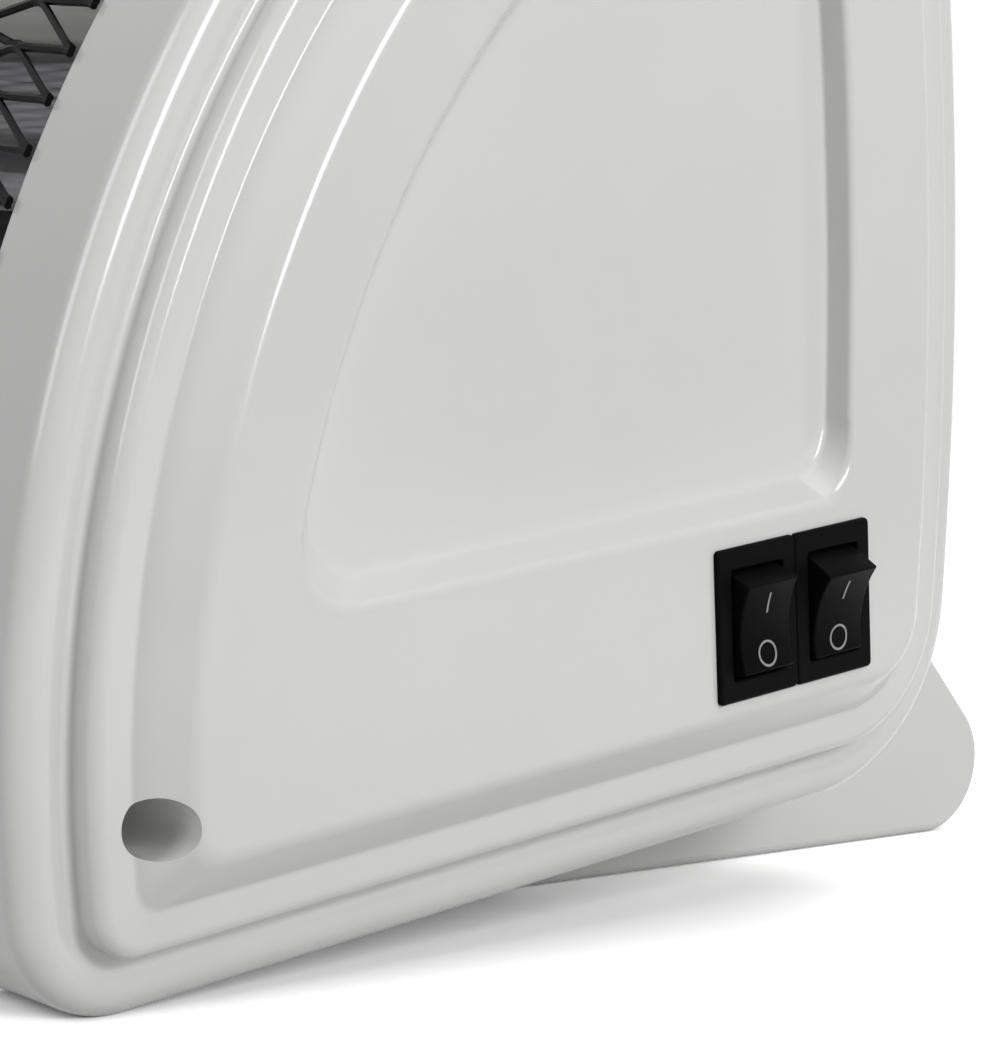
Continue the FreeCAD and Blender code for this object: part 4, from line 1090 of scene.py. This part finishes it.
def makeCamera():
    # directions in body axes, turned by the lean into the frame
    yaw, pitch, roll = (math.radians(shot[key]) for key in ("yawDeg", "pitchDeg", "rollDeg"))
    level = np.array((-math.cos(yaw), math.sin(yaw), 0))
    aside = np.array((math.sin(yaw), math.cos(yaw), 0))
    upward = np.array((0, 0, 1))
    forward = math.cos(pitch) * level - math.sin(pitch) * upward
    above = math.cos(pitch) * upward + math.sin(pitch) * level
    right = math.cos(roll) * aside + math.sin(roll) * above
    top = math.cos(roll) * above - math.sin(roll) * aside
    lens = bpy.data.cameras.new("photo_camera")
    lens.sensor_width = shot["sensorMm"]
    lens.sensor_fit = "AUTO"
    lens.lens = shot["focalPx"] / shot["heightPx"] * shot["sensorMm"]
    lens.clip_start = shot["nearest"]
    camera = bpy.data.objects.new("photo_camera", lens)
    bpy.context.scene.collection.objects.link(camera)
    turn = Matrix((leanTurn @ np.stack((right, top, -forward), 1)).tolist())
    camera.matrix_world = Matrix.Translation(Vector(toFrame(shot["eye"]))) @ turn.to_4x4()
    bpy.context.scene.camera = camera


makeCamera()

# Floor, world and lamps

stage = {"size": 8.0, "near": 0.5, "far": 1.1, "paper": 0.45, "paperSeen": 1.85, "ambient": 0.11}


def backgroundRay(tree):
    # one for rays that look straight, mirrored or through glass at the background
    path = addNode(tree, "ShaderNodeLightPath")
    looks = addNode(tree, "ShaderNodeMath", {0: path.outputs["Is Camera Ray"],
                                             1: path.outputs["Is Glossy Ray"]}, operation="MAXIMUM")
    return addNode(tree, "ShaderNodeMath", {0: looks.outputs[0], 1: path.outputs["Is Transmission Ray"]},
                   operation="MAXIMUM").outputs[0]


def makeFloor():
    # White paper: it takes soft shadows near the heater, shows paler than it throws light back, and fades to
    # plain white farther off
    material, tree, place = newMaterial("white_paper_floor")
    away = addNode(tree, "ShaderNodeVectorMath", {0: place}, operation="LENGTH").outputs["Value"]
    fade = addNode(tree, "ShaderNodeMapRange", {"Value": away, "From Min": stage["near"],
                                                "From Max": stage["far"]}).outputs["Result"]
    seen = backgroundRay(tree)
    tone = addNode(tree, "ShaderNodeMapRange", {"Value": seen, "To Min": stage["paper"],
                                                "To Max": stage["paperSeen"]}).outputs["Result"]
    nearFloor = addNode(tree, "ShaderNodeBsdfDiffuse", {"Color": tone}).outputs[0]
    white = addNode(tree, "ShaderNodeEmission", {"Strength": 1.0}).outputs[0]
    factor = addNode(tree, "ShaderNodeMath", {0: seen, 1: fade}, operation="MULTIPLY").outputs[0]
    mix = addNode(tree, "ShaderNodeMixShader", {0: factor, 1: nearFloor, 2: white}).outputs[0]
    addNode(tree, "ShaderNodeOutputMaterial", {"Surface": mix})
    half = stage["size"] / 2
    mesh = bpy.data.meshes.new("floor")
    corners = [(-half, -half, 0), (half, -half, 0), (half, half, 0), (-half, half, 0)]
    mesh.from_pydata(corners, [], [(0, 1, 2, 3)])
    mesh.materials.append(material)
    floor = bpy.data.objects.new("floor", mesh)
    bpy.context.scene.collection.objects.link(floor)


def makeWorld():
    world = bpy.data.worlds.new("white_room")
    world.use_nodes = True
    tree = world.node_tree
    tree.nodes.clear()
    strength = addNode(tree, "ShaderNodeMapRange", {"Value": backgroundRay(tree), "To Min": stage["ambient"],
                                                    "To Max": 1.0}).outputs["Result"]
    back = addNode(tree, "ShaderNodeBackground", {"Color": (1, 1, 1, 1), "Strength": strength})
    addNode(tree, "ShaderNodeOutputWorld", {"Surface": back.outputs[0]})
    bpy.context.scene.world = world


# each lamp's place, the point it aims at and its width and height, in metres, then its watts
lamps = {"side_softbox": ((0.97, -0.02, 0.4), (0.17, 0.0, 0.08), (0.22, 0.4), 4.0),
         "front_softbox": ((-0.1, -1.3, 0.8), (0.1, 0.0, 0.1), (0.5, 1.0), 6.0),
         "top_softbox": ((0.5, 0.1, 1.2), (0.15, 0.0, 0.1), (1.0, 1.0), 4.5),
         "rear_softbox": ((-0.9, 1.0, 0.8), (0.0, 0.0, 0.1), (1.2, 1.2), 12.0)}


def makeLamps():
    for name, (place, aim, size, watts) in lamps.items():
        light = bpy.data.lights.new(name, "AREA")
        light.shape = "RECTANGLE"
        light.size, light.size_y = size
        light.energy = watts
        lamp = bpy.data.objects.new(name, light)
        bpy.context.scene.collection.objects.link(lamp)
        turn = (Vector(aim) - Vector(place)).to_track_quat("-Z", "Y").to_matrix().to_4x4()
        lamp.matrix_world = Matrix.Translation(place) @ turn


makeFloor()
makeWorld()
makeLamps()
bpy.context.scene.view_settings.view_transform = "Standard"
print("camera, floor and lamps placed")
